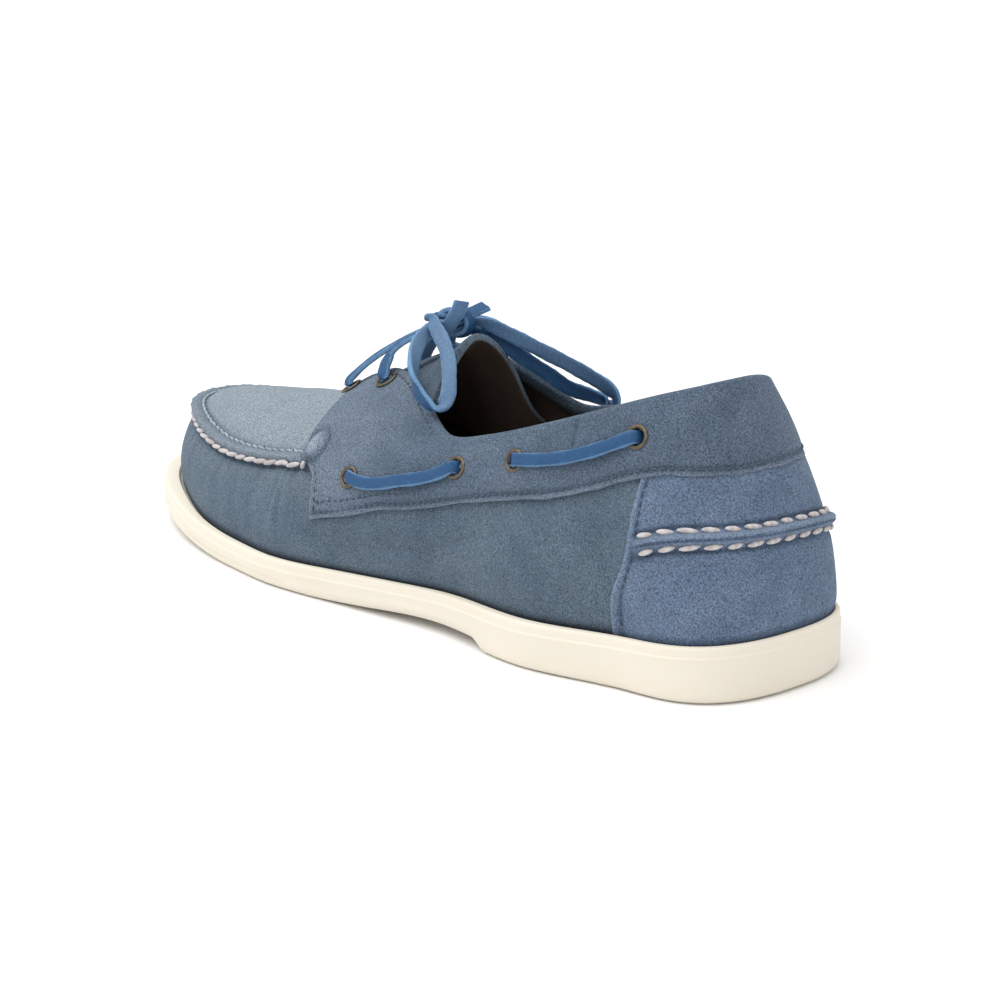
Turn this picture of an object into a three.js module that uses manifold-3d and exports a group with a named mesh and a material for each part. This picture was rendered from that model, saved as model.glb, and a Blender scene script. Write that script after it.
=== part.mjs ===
// Left boat shoe, standing empty on its sole. Millimetres, +Z up, +Y to the toe, +X to the inner
// (medial) side. The origin is on the ground under the middle of the outsole.
import * as THREE from 'three';
import { mergeVertices } from 'three/addons/utils/BufferGeometryUtils.js';
import Module from 'manifold-3d';

const wasm = await Module();
wasm.setup();

// Driving sizes.
const LENGTH = 294; // outsole, heel to toe
const BALL = 98; // outsole width at the ball
const WALL = 2.0; // suede and lining of the upper
const OVERLAY = 1.2; // saddle and counter leather
const GAP = 0.3; // between neighbouring pieces
const OVER_IN = 0.85; // inner face of an overlay, off the upper
const OVER_OUT = OVER_IN + OVERLAY;
const BED_DROP = 1.5; // footbed below the rim of the outsole
const TOE_SPRING = 7.5;
const BREAST = 1.9; // step down to the heel at the waist
const BREAST_AT = 98; // heel back to the heel breast
const TREAD_AT = 170; // heel back to the start of the forefoot tread
const SPRING_AT = 205; // heel back to the start of the toe spring
const HEEL_ROUND = 0.11; // share of the length taken by the round heel end
const TOE_ROUND = 0.30;
const CENTRE_SHIFT = 0.00115; // centres the outsole's box on the origin, share of BALL
const SPINE = 0.655; // ring station where the throat closes and the apron begins
const THROAT = 0.63; // ring station where the throat end starts to round off
const LACE_WIDTH = 4.8;
const LACE_THICK = 2.0;
const EYELET_HOLE = 2.3; // radius
const EYELET_FLANGE = 4.0; // radius
const EYELET_HEIGHT = 0.8;

// A row per station. along is a share of LENGTH, centre and half are shares of BALL.
const OUTLINE = [
  { at: 0.00, centre: -0.008, half: 0.388 },
  { at: 0.11, centre: -0.008, half: 0.388 },
  { at: 0.24, centre: -0.034, half: 0.394 },
  { at: 0.375, centre: -0.032, half: 0.347 },
  { at: 0.51, centre: -0.039, half: 0.397 },
  { at: 0.63, centre: -0.028, half: 0.477 },
  { at: 0.72, centre: 0.014, half: 0.490 },
  { at: 0.82, centre: 0.038, half: 0.486 },
  { at: 0.91, centre: 0.052, half: 0.486 },
  { at: 1.00, centre: 0.044, half: 0.486 },
];

// Height of the outsole's rim.
const RIM = [
  { at: 0.00, height: 18.0 },
  { at: 0.17, height: 14.2 },
  { at: 0.33, height: 10.8 },
  { at: 0.46, height: 9.3 },
  { at: 0.65, height: 9.0 },
  { at: 0.80, height: 10.6 },
  { at: 0.90, height: 14.2 },
  { at: 1.00, height: 17.5 },
];

// Side profile of the upper: how far its foot stands in from the outsole, the bulge above the foot
// and the shoulder below the top edge.
const PROFILE = [
  { at: 0.00, inset: 3.0, bulge: 2.5, rise: 22, shoulder: 10.0, drop: 18 },
  { at: 0.12, inset: 3.5, bulge: 3.0, rise: 22, shoulder: 9.0, drop: 20 },
  { at: 0.25, inset: 4.5, bulge: 4.0, rise: 22, shoulder: 8.0, drop: 22 },
  { at: 0.36, inset: 4.0, bulge: 5.0, rise: 20, shoulder: 9.0, drop: 18 },
  { at: 0.43, inset: 3.5, bulge: 5.5, rise: 18, shoulder: 12.0, drop: 12 },
  { at: 0.50, inset: 3.5, bulge: 5.5, rise: 19, shoulder: 17.0, drop: 9 },
  { at: 0.58, inset: 3.5, bulge: 5.0, rise: 20, shoulder: 23.0, drop: 6 },
  { at: 0.66, inset: 4.0, bulge: 4.0, rise: 21, shoulder: 25.0, drop: 4 },
  { at: 0.80, inset: 5.0, bulge: 3.0, rise: 20, shoulder: 27.0, drop: 1 },
  { at: 0.90, inset: 6.2, bulge: 2.5, rise: 18, shoulder: 27.0, drop: -0.5 },
  { at: 1.00, inset: 7.0, bulge: 2.2, rise: 17, shoulder: 25.0, drop: -1 },
];

// Top edge: collar, eyestay, throat, then the middle line of the apron. The inner side adds
// medY and medZ.
const EDGE = [
  { at: 0.00, y: -121, half: 22.0, z: 88.3, medY: 0, medZ: 0.0 },
  { at: 0.03, y: -117, half: 22.0, z: 87.0, medY: 0, medZ: -1.5 },
  { at: 0.06, y: -112, half: 22.5, z: 85.4, medY: 0, medZ: -1.9 },
  { at: 0.12, y: -99, half: 25.0, z: 80.8, medY: 0, medZ: -0.4 },
  { at: 0.25, y: -74, half: 30.0, z: 71.8, medY: 0, medZ: 0.4 },
  { at: 0.36, y: -50, half: 31.5, z: 63.8, medY: 1, medZ: -0.5 },
  { at: 0.43, y: -31, half: 31.0, z: 59.6, medY: 5, medZ: -1.2 },
  { at: 0.49, y: -14, half: 24.0, z: 64.0, medY: 0, medZ: 1.0 },
  { at: 0.54, y: 2, half: 16.0, z: 69.0, medY: -5, medZ: 3.0 },
  { at: 0.59, y: 18, half: 9.5, z: 70.0, medY: -2, medZ: 2.5 },
  { at: 0.63, y: 30, half: 7.5, z: 67.0, medY: 0, medZ: 0.8 },
  { at: 0.655, y: 37, half: 7.5, z: 63.8, medY: 0, medZ: 0.0 },
  { at: 0.70, y: 49, half: 7.5, z: 58.5, medY: 0, medZ: 0.0 },
  { at: 0.80, y: 68, half: 7.5, z: 52.5, medY: 0, medZ: 0.0 },
  { at: 0.90, y: 88, half: 7.5, z: 49.8, medY: 0, medZ: 0.0 },
  { at: 1.00, y: 106, half: 7.5, z: 48.0, medY: 0, medZ: 0.0 },
];

// Raised seam round the apron, as a share of the way up the profile, and its height in mm.
const APRON_SEAM = [
  { at: 0.00, up: 0.50, high: 0 },
  { at: 0.54, up: 0.49, high: 0 },
  { at: 0.60, up: 0.480, high: 0 },
  { at: 0.622, up: 0.478, high: 0 },
  { at: 0.65, up: 0.474, high: 2.2 },
  { at: 0.70, up: 0.465, high: 2.6 },
  { at: 0.80, up: 0.457, high: 2.8 },
  { at: 0.87, up: 0.470, high: 2.8 },
  { at: 0.93, up: 0.500, high: 2.8 },
  { at: 1.00, up: 0.535, high: 2.8 },
];

// Lower edge of the saddle and collar band, as a share of the way up the profile.
const SADDLE = [
  { at: 0.000, up: 0.672 },
  { at: 0.062, up: 0.682 },
  { at: 0.124, up: 0.664 },
  { at: 0.193, up: 0.650 },
  { at: 0.261, up: 0.643 },
  { at: 0.334, up: 0.620 },
  { at: 0.400, up: 0.568 },
  { at: 0.464, up: 0.458 },
  { at: 0.525, up: 0.337 },
  { at: 0.575, up: 0.250 },
];
const SADDLE_FRONT = [
  { at: 0.575, up: 0.250 },
  { at: 0.602, up: 0.450 },
  { at: 0.614, up: 0.590 },
  { at: 0.622, up: 0.750 },
  { at: 0.632, up: 0.850 },
  { at: 0.655, up: 0.930 },
  { at: 0.688, up: 1.000 },
];

// Front edge of the heel counter, going up.
const COUNTER = [
  { up: 0.03, at: 0.130 },
  { up: 0.20, at: 0.121 },
  { up: 0.37, at: 0.095 },
  { up: 0.59, at: 0.0735 },
  { up: 0.66, at: 0.0640 },
];

// Eyelet centres: ring station and share of the way up the profile.
const EYELETS = [
  { name: 'front_side', at: 0.536, up: 0.467 },
  { name: 'mid_side', at: 0.392, up: 0.813 },
  { name: 'rear_side', at: 0.285, up: 0.817 },
  { name: 'heel_side', at: 0.079, up: 0.827 },
  { name: 'throat_rear', at: 0.579, up: 0.897 },
  { name: 'throat_front', at: 0.642, up: 0.872 },
];

// Tongue cross-sections, an arch of height centre that falls by curl times the square of x.
const TONGUE = [
  { y: -10, centre: 85.0, curl: 0.056, outer: 19.5, inner: 25.0 },
  { y: 2, centre: 77.4, curl: 0.062, outer: 20.5, inner: 24.0 },
  { y: 10, centre: 72.5, curl: 0.055, outer: 21.5, inner: 23.0 },
  { y: 18, centre: 68.5, curl: 0.046, outer: 21.5, inner: 21.5 },
  { y: 33, centre: 62.0, curl: 0.032, outer: 21.0, inner: 21.0 },
  { y: 42, centre: 57.3, curl: 0.024, outer: 20.0, inner: 20.0 },
  { y: 60, centre: 50.8, curl: 0.022, outer: 18.0, inner: 18.0 },
];
const TONGUE_SHIFT = -1;
const TONGUE_THICK = 2.0;

// Smooth reading of one column of a table, cubic between rows.
function read(rows, key, at, column = 'at') {
  const last = rows.length - 1;
  const x = Math.min(Math.max(at, rows[0][column]), rows[last][column]);
  let k = 0;
  while (k < last - 1 && rows[k + 1][column] <= x) k += 1;
  const slope = (i) => {
    const a = Math.max(i - 1, 0);
    const b = Math.min(i + 1, last);
    return (rows[b][key] - rows[a][key]) / (rows[b][column] - rows[a][column]);
  };
  const h = rows[k + 1][column] - rows[k][column];
  const t = (x - rows[k][column]) / h;
  const t2 = t * t;
  const t3 = t2 * t;
  return (2 * t3 - 3 * t2 + 1) * rows[k][key] + (t3 - 2 * t2 + t) * h * slope(k)
    + (3 * t2 - 2 * t3) * rows[k + 1][key] + (t3 - t2) * h * slope(k + 1);
}

function line(rows, key, at, column = 'at') {
  const last = rows.length - 1;
  const x = Math.min(Math.max(at, rows[0][column]), rows[last][column]);
  let k = 0;
  while (k < last - 1 && rows[k + 1][column] <= x) k += 1;
  const t = (x - rows[k][column]) / (rows[k + 1][column] - rows[k][column]);
  return rows[k][key] + t * (rows[k + 1][key] - rows[k][key]);
}

// Share of the full half width near a rounded end.
function rounded(distance, reach, power) {
  const q = Math.min(Math.max(1 - distance / reach, 0), 1);
  return (1 - q ** power) ** (1 / power);
}

// u runs once round the shoe: 0 at the heel back, up the outer side, 0.5 at the toe, back on the
// inner side. The station is 0 at the heel and 1 at the toe.
const station = (u) => (1 - Math.cos(2 * Math.PI * u)) / 2;
const ringAt = (s) => Math.acos(1 - 2 * s) / (2 * Math.PI);
const wrap = (u) => u - Math.floor(u);
const outerSide = (u) => wrap(u) < 0.5;

function outlinePoint(u) {
  const s = station(u);
  const half = read(OUTLINE, 'half', s) * BALL
    * rounded(s, HEEL_ROUND, 2.5) * rounded(1 - s, TOE_ROUND, 2.05);
  const x = (read(OUTLINE, 'centre', s) - CENTRE_SHIFT) * BALL + (outerSide(u) ? -half : half);
  return new THREE.Vector2(x, LENGTH * (s - 0.5));
}

function outlineNormal(u) {
  const d = outlinePoint(u + 1e-3).sub(outlinePoint(u - 1e-3)).normalize();
  return new THREE.Vector2(-d.y, d.x);
}

const smoothStep = (x) => {
  const t = Math.min(Math.max(x, 0), 1);
  return t * t * (3 - 2 * t);
};

// Underside of the outsole: heel and forefoot on the ground, the waist raised behind the breast.
function soleBottom(y) {
  const from = y + LENGTH / 2;
  const spring = Math.max(from - SPRING_AT, 0) / (LENGTH - SPRING_AT);
  const waist = smoothStep((from - BREAST_AT) / 5) * (1 - smoothStep((from - 112) / (TREAD_AT - 112)));
  return TOE_SPRING * spring * spring + BREAST * waist;
}

function edgePoint(u) {
  const s = station(u);
  const outer = outerSide(u);
  let half = s < SPINE ? read(EDGE, 'half', s) : 0;
  if (s > THROAT && s < SPINE) half *= Math.sqrt(1 - ((s - THROAT) / (SPINE - THROAT)) ** 2);
  half *= rounded(s, 0.12, 2.3);
  const middle = 3 * Math.min(Math.max((s - 0.7) / 0.3, 0), 1);
  return new THREE.Vector3(
    middle + (outer ? -half : half),
    read(EDGE, 'y', s) + (outer || s >= SPINE - 1e-6 ? 0 : read(EDGE, 'medY', s)),
    read(EDGE, 'z', s) + (outer || s >= SPINE - 1e-6 ? 0 : read(EDGE, 'medZ', s)),
  );
}

function footPoint(u) {
  const s = station(u);
  const p = outlinePoint(u);
  const n = outlineNormal(u);
  p.addScaledVector(n, -read(PROFILE, 'inset', s));
  return new THREE.Vector3(p.x, p.y, read(RIM, 'height', s) - BED_DROP + GAP);
}

function spineSlope(s) {
  if (s < SPINE) return 0;
  const a = Math.max(s - 1e-3, 0);
  const b = Math.min(s + 1e-3, 1);
  return (read(EDGE, 'z', b) - read(EDGE, 'z', a)) / (read(EDGE, 'y', b) - read(EDGE, 'y', a));
}

// Outer face of the upper. v is 0 at the foot and 1 at the top edge or the middle line.
const columnCache = new Map();
function column(u) {
  const key = wrap(u).toFixed(7);
  if (!columnCache.has(key)) {
    const s = station(u);
    const n = outlineNormal(u);
    const foot = footPoint(u);
    const top = edgePoint(u);
    const bulge = read(PROFILE, 'bulge', s);
    const shoulder = read(PROFILE, 'shoulder', s);
    const low = foot.clone();
    low.x += n.x * bulge;
    low.y += n.y * bulge;
    low.z += read(PROFILE, 'rise', s);
    const high = top.clone();
    high.x += n.x * shoulder;
    high.y += n.y * shoulder;
    high.z += spineSlope(s) * n.y * shoulder - read(PROFILE, 'drop', s);
    columnCache.set(key, [foot, low, high, top]);
  }
  return columnCache.get(key);
}

function bare(u, v) {
  const [a, b, c, d] = column(u);
  const w = 1 - v;
  return new THREE.Vector3()
    .addScaledVector(a, w * w * w)
    .addScaledVector(b, 3 * w * w * v)
    .addScaledVector(c, 3 * w * v * v)
    .addScaledVector(d, v * v * v);
}

function surfaceNormal(u, v) {
  const s = station(u);
  if (v > 0.995 && s >= SPINE - 1e-6) {
    return new THREE.Vector3(0, -spineSlope(Math.max(s, SPINE + 2e-3)), 1).normalize();
  }
  const w = Math.min(Math.max(v, 0.01), 0.975);
  const e = 1.5e-3;
  const du = bare(u + e, w).sub(bare(u - e, w));
  const dv = bare(u, w + 0.01).sub(bare(u, w - 0.01));
  return dv.cross(du).normalize();
}

// Point at a distance outside the upper's outer face.
function surface(u, v, out = 0) {
  return bare(u, v).addScaledVector(surfaceNormal(u, v), out);
}

// Raised apron seam: distance outside the bare face.
function seamHeight(u, v) {
  const s = station(u);
  const high = read(APRON_SEAM, 'high', s);
  const off = (v - read(APRON_SEAM, 'up', s)) / 0.034;
  return Math.max(high, 0) * Math.exp(-off * off);
}

// Triangle list to a closed body: equal corners are joined and flat triangles dropped.
function body(triangles) {
  const flat = [];
  triangles.forEach((t) => t.forEach((p) => flat.push(p.x, p.y, p.z)));
  let g = new THREE.BufferGeometry();
  g.setAttribute('position', new THREE.Float32BufferAttribute(flat, 3));
  g = mergeVertices(g, 1e-3);
  const index = Array.from(g.index.array);
  const keep = [];
  for (let i = 0; i < index.length; i += 3) {
    const [a, b, c] = [index[i], index[i + 1], index[i + 2]];
    if (a !== b && b !== c && c !== a) keep.push(a, b, c);
  }
  g.setIndex(keep);
  return g;
}

function quad(out, a, b, c, d) {
  out.push([a, b, c], [a, c, d]);
}

// Closed body between an outer and an inner grid. Each grid is [column][row]; rows join along the
// edges. closed says that the columns form a ring, joined that a column's last row meets the other
// side's on the middle line, where no edge is needed.
function slab(outer, inner, closed, joined = () => false) {
  const tris = [];
  const nc = outer.length;
  const nr = outer[0].length;
  const steps = closed ? nc : nc - 1;
  for (let i = 0; i < steps; i += 1) {
    const j = (i + 1) % nc;
    for (let r = 0; r < nr - 1; r += 1) {
      quad(tris, outer[i][r], outer[i][r + 1], outer[j][r + 1], outer[j][r]);
      quad(tris, inner[i][r], inner[j][r], inner[j][r + 1], inner[i][r + 1]);
    }
    quad(tris, outer[i][0], outer[j][0], inner[j][0], inner[i][0]);
    if (!(joined(i) && joined(j))) {
      quad(tris, outer[i][nr - 1], inner[i][nr - 1], inner[j][nr - 1], outer[j][nr - 1]);
    }
  }
  if (!closed) {
    for (let r = 0; r < nr - 1; r += 1) {
      quad(tris, outer[0][r], inner[0][r], inner[0][r + 1], outer[0][r + 1]);
      const e = nc - 1;
      quad(tris, outer[e][r], outer[e][r + 1], inner[e][r + 1], inner[e][r]);
    }
  }
  return tris;
}

// The ring's columns: a list of u values, the same on both sides.
function ringColumns(parts) {
  const half = [];
  parts.forEach(([from, to, count]) => {
    for (let i = 0; i < count; i += 1) half.push(from + (to - from) * i / count);
  });
  const end = parts[parts.length - 1][1];
  const all = [...half, end];
  for (let i = half.length - 1; i > 0; i -= 1) all.push(1 - half[i]);
  return all;
}

// A stack of closed rings with a ruled cap at each end, ring j faces ring n - j across the shoe.
function stack(rings) {
  const tris = [];
  const n = rings[0].length;
  for (let r = 0; r < rings.length - 1; r += 1) {
    for (let i = 0; i < n; i += 1) {
      const j = (i + 1) % n;
      quad(tris, rings[r][i], rings[r + 1][i], rings[r + 1][j], rings[r][j]);
    }
  }
  const first = rings[0];
  const last = rings[rings.length - 1];
  for (let i = 0; i < n / 2; i += 1) {
    const a = i;
    const b = i + 1;
    const c = (n - i - 1) % n;
    const d = (n - i) % n;
    quad(tris, first[a], first[b], first[c], first[d]);
    quad(tris, last[a], last[d], last[c], last[b]);
  }
  return tris;
}

function material(colour, roughness, metalness = 0) {
  return new THREE.MeshStandardMaterial({ color: colour, roughness, metalness });
}
const suede = material('#6f89a4', 0.95);
const suedeDark = material('#65809c', 0.95);
const cream = material('#ece4d2', 0.7);
const lining = material('#3a2c28', 0.85);
const laceBlue = material('#2d68b0', 0.7);
const bronze = material('#7d6444', 0.45, 0.8);

const shoe = new THREE.Group();
function add(name, geometry, finish) {
  const mesh = new THREE.Mesh(geometry, finish);
  mesh.name = name;
  shoe.add(mesh);
  return mesh;
}

function toManifold(g) {
  const mesh = new wasm.Mesh({
    numProp: 3,
    vertProperties: new Float32Array(g.attributes.position.array),
    triVerts: new Uint32Array(g.index.array),
  });
  return new wasm.Manifold(mesh);
}
function fromManifold(m) {
  const mesh = m.getMesh();
  const g = new THREE.BufferGeometry();
  g.setAttribute('position', new THREE.BufferAttribute(new Float32Array(mesh.vertProperties), 3));
  g.setIndex(Array.from(mesh.triVerts));
  return g;
}
// Outsole.
const soleColumns = ringColumns([[0, 0.5, 40]]);
function soleRing(inset, height) {
  return soleColumns.map((u) => {
    const s = station(u);
    const p = outlinePoint(u).addScaledVector(outlineNormal(u), -inset(s));
    return new THREE.Vector3(p.x, p.y, height(s, p.y));
  });
}
const rimHeight = (s) => read(RIM, 'height', s);
const footInset = (s) => read(PROFILE, 'inset', s);
const outsoleRings = [
  soleRing(() => 2.0, (s, y) => soleBottom(y)),
  soleRing(() => 0.2, (s, y) => soleBottom(y) + 1.2),
  soleRing(() => 0.0, (s) => rimHeight(s) - 3.4),
  soleRing(() => 0.8, (s) => rimHeight(s) - 2.9),
  soleRing(() => 0.8, (s) => rimHeight(s) - 0.6),
  soleRing(() => 1.4, (s) => rimHeight(s)),
  soleRing((s) => footInset(s) - 0.9, (s) => rimHeight(s)),
  soleRing((s) => footInset(s) - 0.8, (s) => rimHeight(s) - BED_DROP),
];
add('outsole', body(stack(outsoleRings)), cream);

// Insole, a thin bed inside the upper.
const insoleColumns = ringColumns([[0, 0.5, 24]]);
function insoleRing(extra, up) {
  return insoleColumns.map((u) => {
    const s = station(u);
    const inset = footInset(s) + WALL + 0.6 + extra;
    const p = outlinePoint(u).addScaledVector(outlineNormal(u), -inset);
    return new THREE.Vector3(p.x, p.y, rimHeight(s) - BED_DROP + up);
  });
}
add('insole', body(stack([insoleRing(0, GAP), insoleRing(0, 2.4), insoleRing(0.8, 3.2)])), lining);

// Upper, one hollow wall, open at the collar and throat and underneath.
const upperColumns = ringColumns([[0, ringAt(THROAT), 20], [ringAt(THROAT), ringAt(SPINE), 3],
  [ringAt(SPINE), 0.5, 15]]);
function upperRows(u) {
  const r = read(APRON_SEAM, 'up', station(u));
  const w = 0.042;
  return [0, 0.10, 0.21, 0.32, r - w, r, r + w, 0.63, 0.75, 0.87, 1];
}
const upperOuter = upperColumns.map((u) => upperRows(u).map((v) => surface(u, v, seamHeight(u, v))));
const upperInner = upperColumns.map((u) => upperRows(u).map((v) => surface(u, v, -WALL)));
const onSpine = (u) => station(u) > SPINE - 1e-6;
add('upper', body(slab(upperOuter, upperInner, true, (i) => onSpine(upperColumns[i]))), suede);
// Saddle and collar band over the upper.
function bandLow(s) {
  return s <= 0.575 ? read(SADDLE, 'up', s) : line(SADDLE_FRONT, 'up', s);
}
const BAND_STOPS = [0, 0.575, 0.602, 0.614, 0.622, THROAT, SPINE, 0.688];
const BAND_STEPS = [17, 2, 1, 1, 1, 3, 2];
const bandParts = BAND_STEPS.map((n, i) => [ringAt(BAND_STOPS[i]), ringAt(BAND_STOPS[i + 1]), n]);
const BAND_END = BAND_STOPS[7];
const bandHalf = [];
bandParts.forEach(([from, to, count]) => {
  for (let i = 0; i < count; i += 1) bandHalf.push(from + (to - from) * i / count);
});
bandHalf.push(ringAt(BAND_END));
const bandColumns = [...bandHalf.map((u) => 1 - u).reverse().slice(0, -1), ...bandHalf];
function bandGrid(out) {
  return bandColumns.map((uRaw) => {
    const u = wrap(uRaw);
    const s = station(u);
    const low = bandLow(s);
    const rows = 6;
    const grid = [];
    for (let r = 0; r <= rows; r += 1) {
      const high = s < SPINE - 1e-6 ? 0.99 : 1;
      const v = low + (high - low) * r / rows;
      grid.push(surface(u, v, seamHeight(u, v) + out));
    }
    return grid;
  });
}
add('saddle_collar', body(slab(bandGrid(OVER_OUT), bandGrid(OVER_IN), false,
  (i) => onSpine(bandColumns[i]))), suedeDark);

// Heel counter over the upper, with the pinched seam across the heel.
const COUNTER_SEAM = 0.43;
function counterGrid(out, seam) {
  const rows = [0.03, 0.13, 0.25, 0.36, 0.405, COUNTER_SEAM, 0.455, 0.50, 0.58, 0.66];
  const steps = 18;
  const grid = [];
  for (let i = 0; i <= steps; i += 1) {
    const side = i / steps * 2 - 1;
    grid.push(rows.map((v) => {
      const s = line(COUNTER, 'at', v, 'up');
      const u = wrap(ringAt(s) * side);
      const fade = smoothStep((1 - Math.abs(side)) / 0.1);
      const off = (v - COUNTER_SEAM) / 0.024;
      return surface(u, v, out + seam * fade * Math.exp(-off * off));
    }));
  }
  return grid;
}
add('heel_counter', body(slab(counterGrid(OVER_OUT, 3.6), counterGrid(OVER_IN, 0), false)), suedeDark);

// Tongue.
function tongueGrid(out) {
  const acrossSteps = 8;
  const alongSteps = 10;
  const grid = [];
  for (let i = 0; i <= acrossSteps; i += 1) {
    const k = i / acrossSteps * 2 - 1;
    const column2 = [];
    for (let j = 0; j <= alongSteps; j += 1) {
      const first = TONGUE[0].y;
      const last = TONGUE[TONGUE.length - 1].y;
      const y = last + (first - last) * j / alongSteps;
      const at = (yy, kk) => {
        const dx = kk * read(TONGUE, kk < 0 ? 'outer' : 'inner', yy, 'y');
        return new THREE.Vector3(dx + TONGUE_SHIFT, yy,
          read(TONGUE, 'centre', yy, 'y') - read(TONGUE, 'curl', yy, 'y') * dx * dx);
      };
      const p = at(y, k);
      const px = at(y, k + 0.01).sub(at(y, k - 0.01));
      const py = at(y + 0.1, k).sub(at(y - 0.1, k));
      column2.push(p.addScaledVector(px.cross(py).normalize(), out));
    }
    grid.push(column2);
  }
  return grid;
}
add('tongue', body(slab(tongueGrid(0), tongueGrid(-TONGUE_THICK), false)), suede);

// Eyelets, flat rings on the band.
const ringProfile = [
  [EYELET_HOLE, 0], [EYELET_FLANGE, 0], [EYELET_FLANGE - 0.4, EYELET_HEIGHT],
  [EYELET_HOLE + 0.3, EYELET_HEIGHT], [EYELET_HOLE, 0],
].map(([r, z]) => new THREE.Vector2(r, z));
function eyeletGeometry() {
  let g = new THREE.LatheGeometry(ringProfile, 10);
  g.deleteAttribute('normal');
  g.deleteAttribute('uv');
  g = mergeVertices(g, 1e-4);
  return g;
}
const eyeletSpots = {};
EYELETS.forEach(({ name, at, up }) => {
  ['outer', 'inner'].forEach((side) => {
    const u = side === 'outer' ? ringAt(at) : 1 - ringAt(at);
    const n = surfaceNormal(u, up);
    const centre = surface(u, up, OVER_OUT + GAP + 0.15);
    eyeletSpots[`${name}_${side}`] = { u, up, n, centre };
    const mesh = add(`eyelet_${name}_${side}`, eyeletGeometry(), bronze);
    mesh.position.copy(centre);
    mesh.quaternion.setFromUnitVectors(new THREE.Vector3(0, 1, 0), n);
  });
});

// A flat lace along a route, width set across the given facing direction at each route point.
function ribbon(points, facings, steps) {
  const path = new THREE.CatmullRomCurve3(points, false, 'centripetal');
  const face = new THREE.CatmullRomCurve3(facings, false, 'centripetal');
  const a = LACE_WIDTH / 2;
  const b = LACE_THICK / 2;
  const section = [[a, b * 0.35], [a * 0.8, b], [-a * 0.8, b], [-a, b * 0.35],
    [-a, -b * 0.35], [-a * 0.8, -b], [a * 0.8, -b], [a, -b * 0.35]];
  const rings = [];
  for (let i = 0; i <= steps; i += 1) {
    const t = i / steps;
    const p = path.getPoint(t);
    const along = path.getTangent(t);
    const up = face.getPoint(t);
    const across = new THREE.Vector3().crossVectors(along, up).normalize();
    const out = new THREE.Vector3().crossVectors(across, along).normalize();
    rings.push(section.map(([x, y]) => p.clone().addScaledVector(across, x).addScaledVector(out, y)));
  }
  const tris = [];
  for (let r = 0; r < steps; r += 1) {
    for (let i = 0; i < 8; i += 1) {
      const j = (i + 1) % 8;
      quad(tris, rings[r][i], rings[r + 1][i], rings[r + 1][j], rings[r][j]);
    }
  }
  for (let i = 1; i < 7; i += 1) {
    tris.push([rings[0][0], rings[0][i], rings[0][i + 1]]);
    tris.push([rings[steps][0], rings[steps][i + 1], rings[steps][i]]);
  }
  return body(tris);
}

const V = (x, y, z) => new THREE.Vector3(x, y, z);

// Side laces between neighbouring eyelets, lying on the band.
function sideLace(from, to) {
  const a = eyeletSpots[from];
  const b = eyeletSpots[to];
  const points = [];
  const facings = [];
  const steps = 6;
  for (let i = 0; i <= steps; i += 1) {
    const t = i / steps;
    const u = a.u + (b.u - a.u) * t;
    const v = a.up + (b.up - a.up) * t;
    const end = Math.max(Math.abs(t - 0.5) * 2 - 0.6, 0) / 0.4;
    points.push(surface(u, v, OVER_OUT + GAP + LACE_THICK / 2 + 0.5 + 2.0 * end));
    facings.push(surfaceNormal(u, v));
  }
  return ribbon(points, facings, 10);
}
add('side_lace_front_outer', sideLace('front_side_outer', 'mid_side_outer'), laceBlue);
add('side_lace_rear_outer', sideLace('rear_side_outer', 'heel_side_outer'), laceBlue);
add('side_lace_front_inner', sideLace('front_side_inner', 'mid_side_inner'), laceBlue);
add('side_lace_rear_inner', sideLace('rear_side_inner', 'heel_side_inner'), laceBlue);

// Throat laces: two straps from eyelet to eyelet that meet under the knot.
function throatStrap(name, rise, middle) {
  const a = eyeletSpots[`${name}_outer`];
  const b = eyeletSpots[`${name}_inner`];
  const start = a.centre.clone().addScaledVector(a.n, 4.1);
  const end = b.centre.clone().addScaledVector(b.n, 4.1);
  const points = [start, ...rise.map(([x, y, z]) => V(-x, y, z)), middle,
    ...rise.map(([x, y, z]) => V(x, y, z)).reverse(), end];
  const facings = points.map((p, i) => {
    if (i === 0) return V(-0.9, 0.6, 0.4);
    if (i === points.length - 1) return V(0.9, 0.6, 0.4);
    return V(Math.sign(p.x) * 0.45, 0.75, 0.55);
  });
  facings[Math.floor(points.length / 2)] = V(0, 0.6, 0.8);
  return ribbon(points, facings, 16);
}
const rearStrap = throatStrap('throat_rear', [[13.0, 17.5, 77.0], [9, 14.0, 81.2]], V(0, 8, 83.2));
const frontStrap = throatStrap('throat_front', [[14.8, 36.4, 68.0], [11.8, 28.8, 75.0], [6.8, 14.6, 82.0]],
  V(0, 8.5, 84.2));
add('lace_crossing', fromManifold(toManifold(rearStrap).add(toManifold(frontStrap))), laceBlue);

// Bow: knot, two loops and two cut ends.
const knot = new THREE.SphereGeometry(1, 12, 7);
knot.scale(6.0, 5.4, 4.6);
knot.deleteAttribute('normal');
knot.deleteAttribute('uv');
const knotMesh = add('lace_knot', body((() => {
  const g = mergeVertices(knot, 1e-4);
  const p = g.attributes.position;
  const tris = [];
  for (let i = 0; i < g.index.count; i += 3) {
    tris.push([0, 1, 2].map((k) => new THREE.Vector3().fromBufferAttribute(p, g.index.getX(i + k))));
  }
  return tris;
})()), laceBlue);
knotMesh.position.set(-1, 1.2, 87.2);

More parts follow.
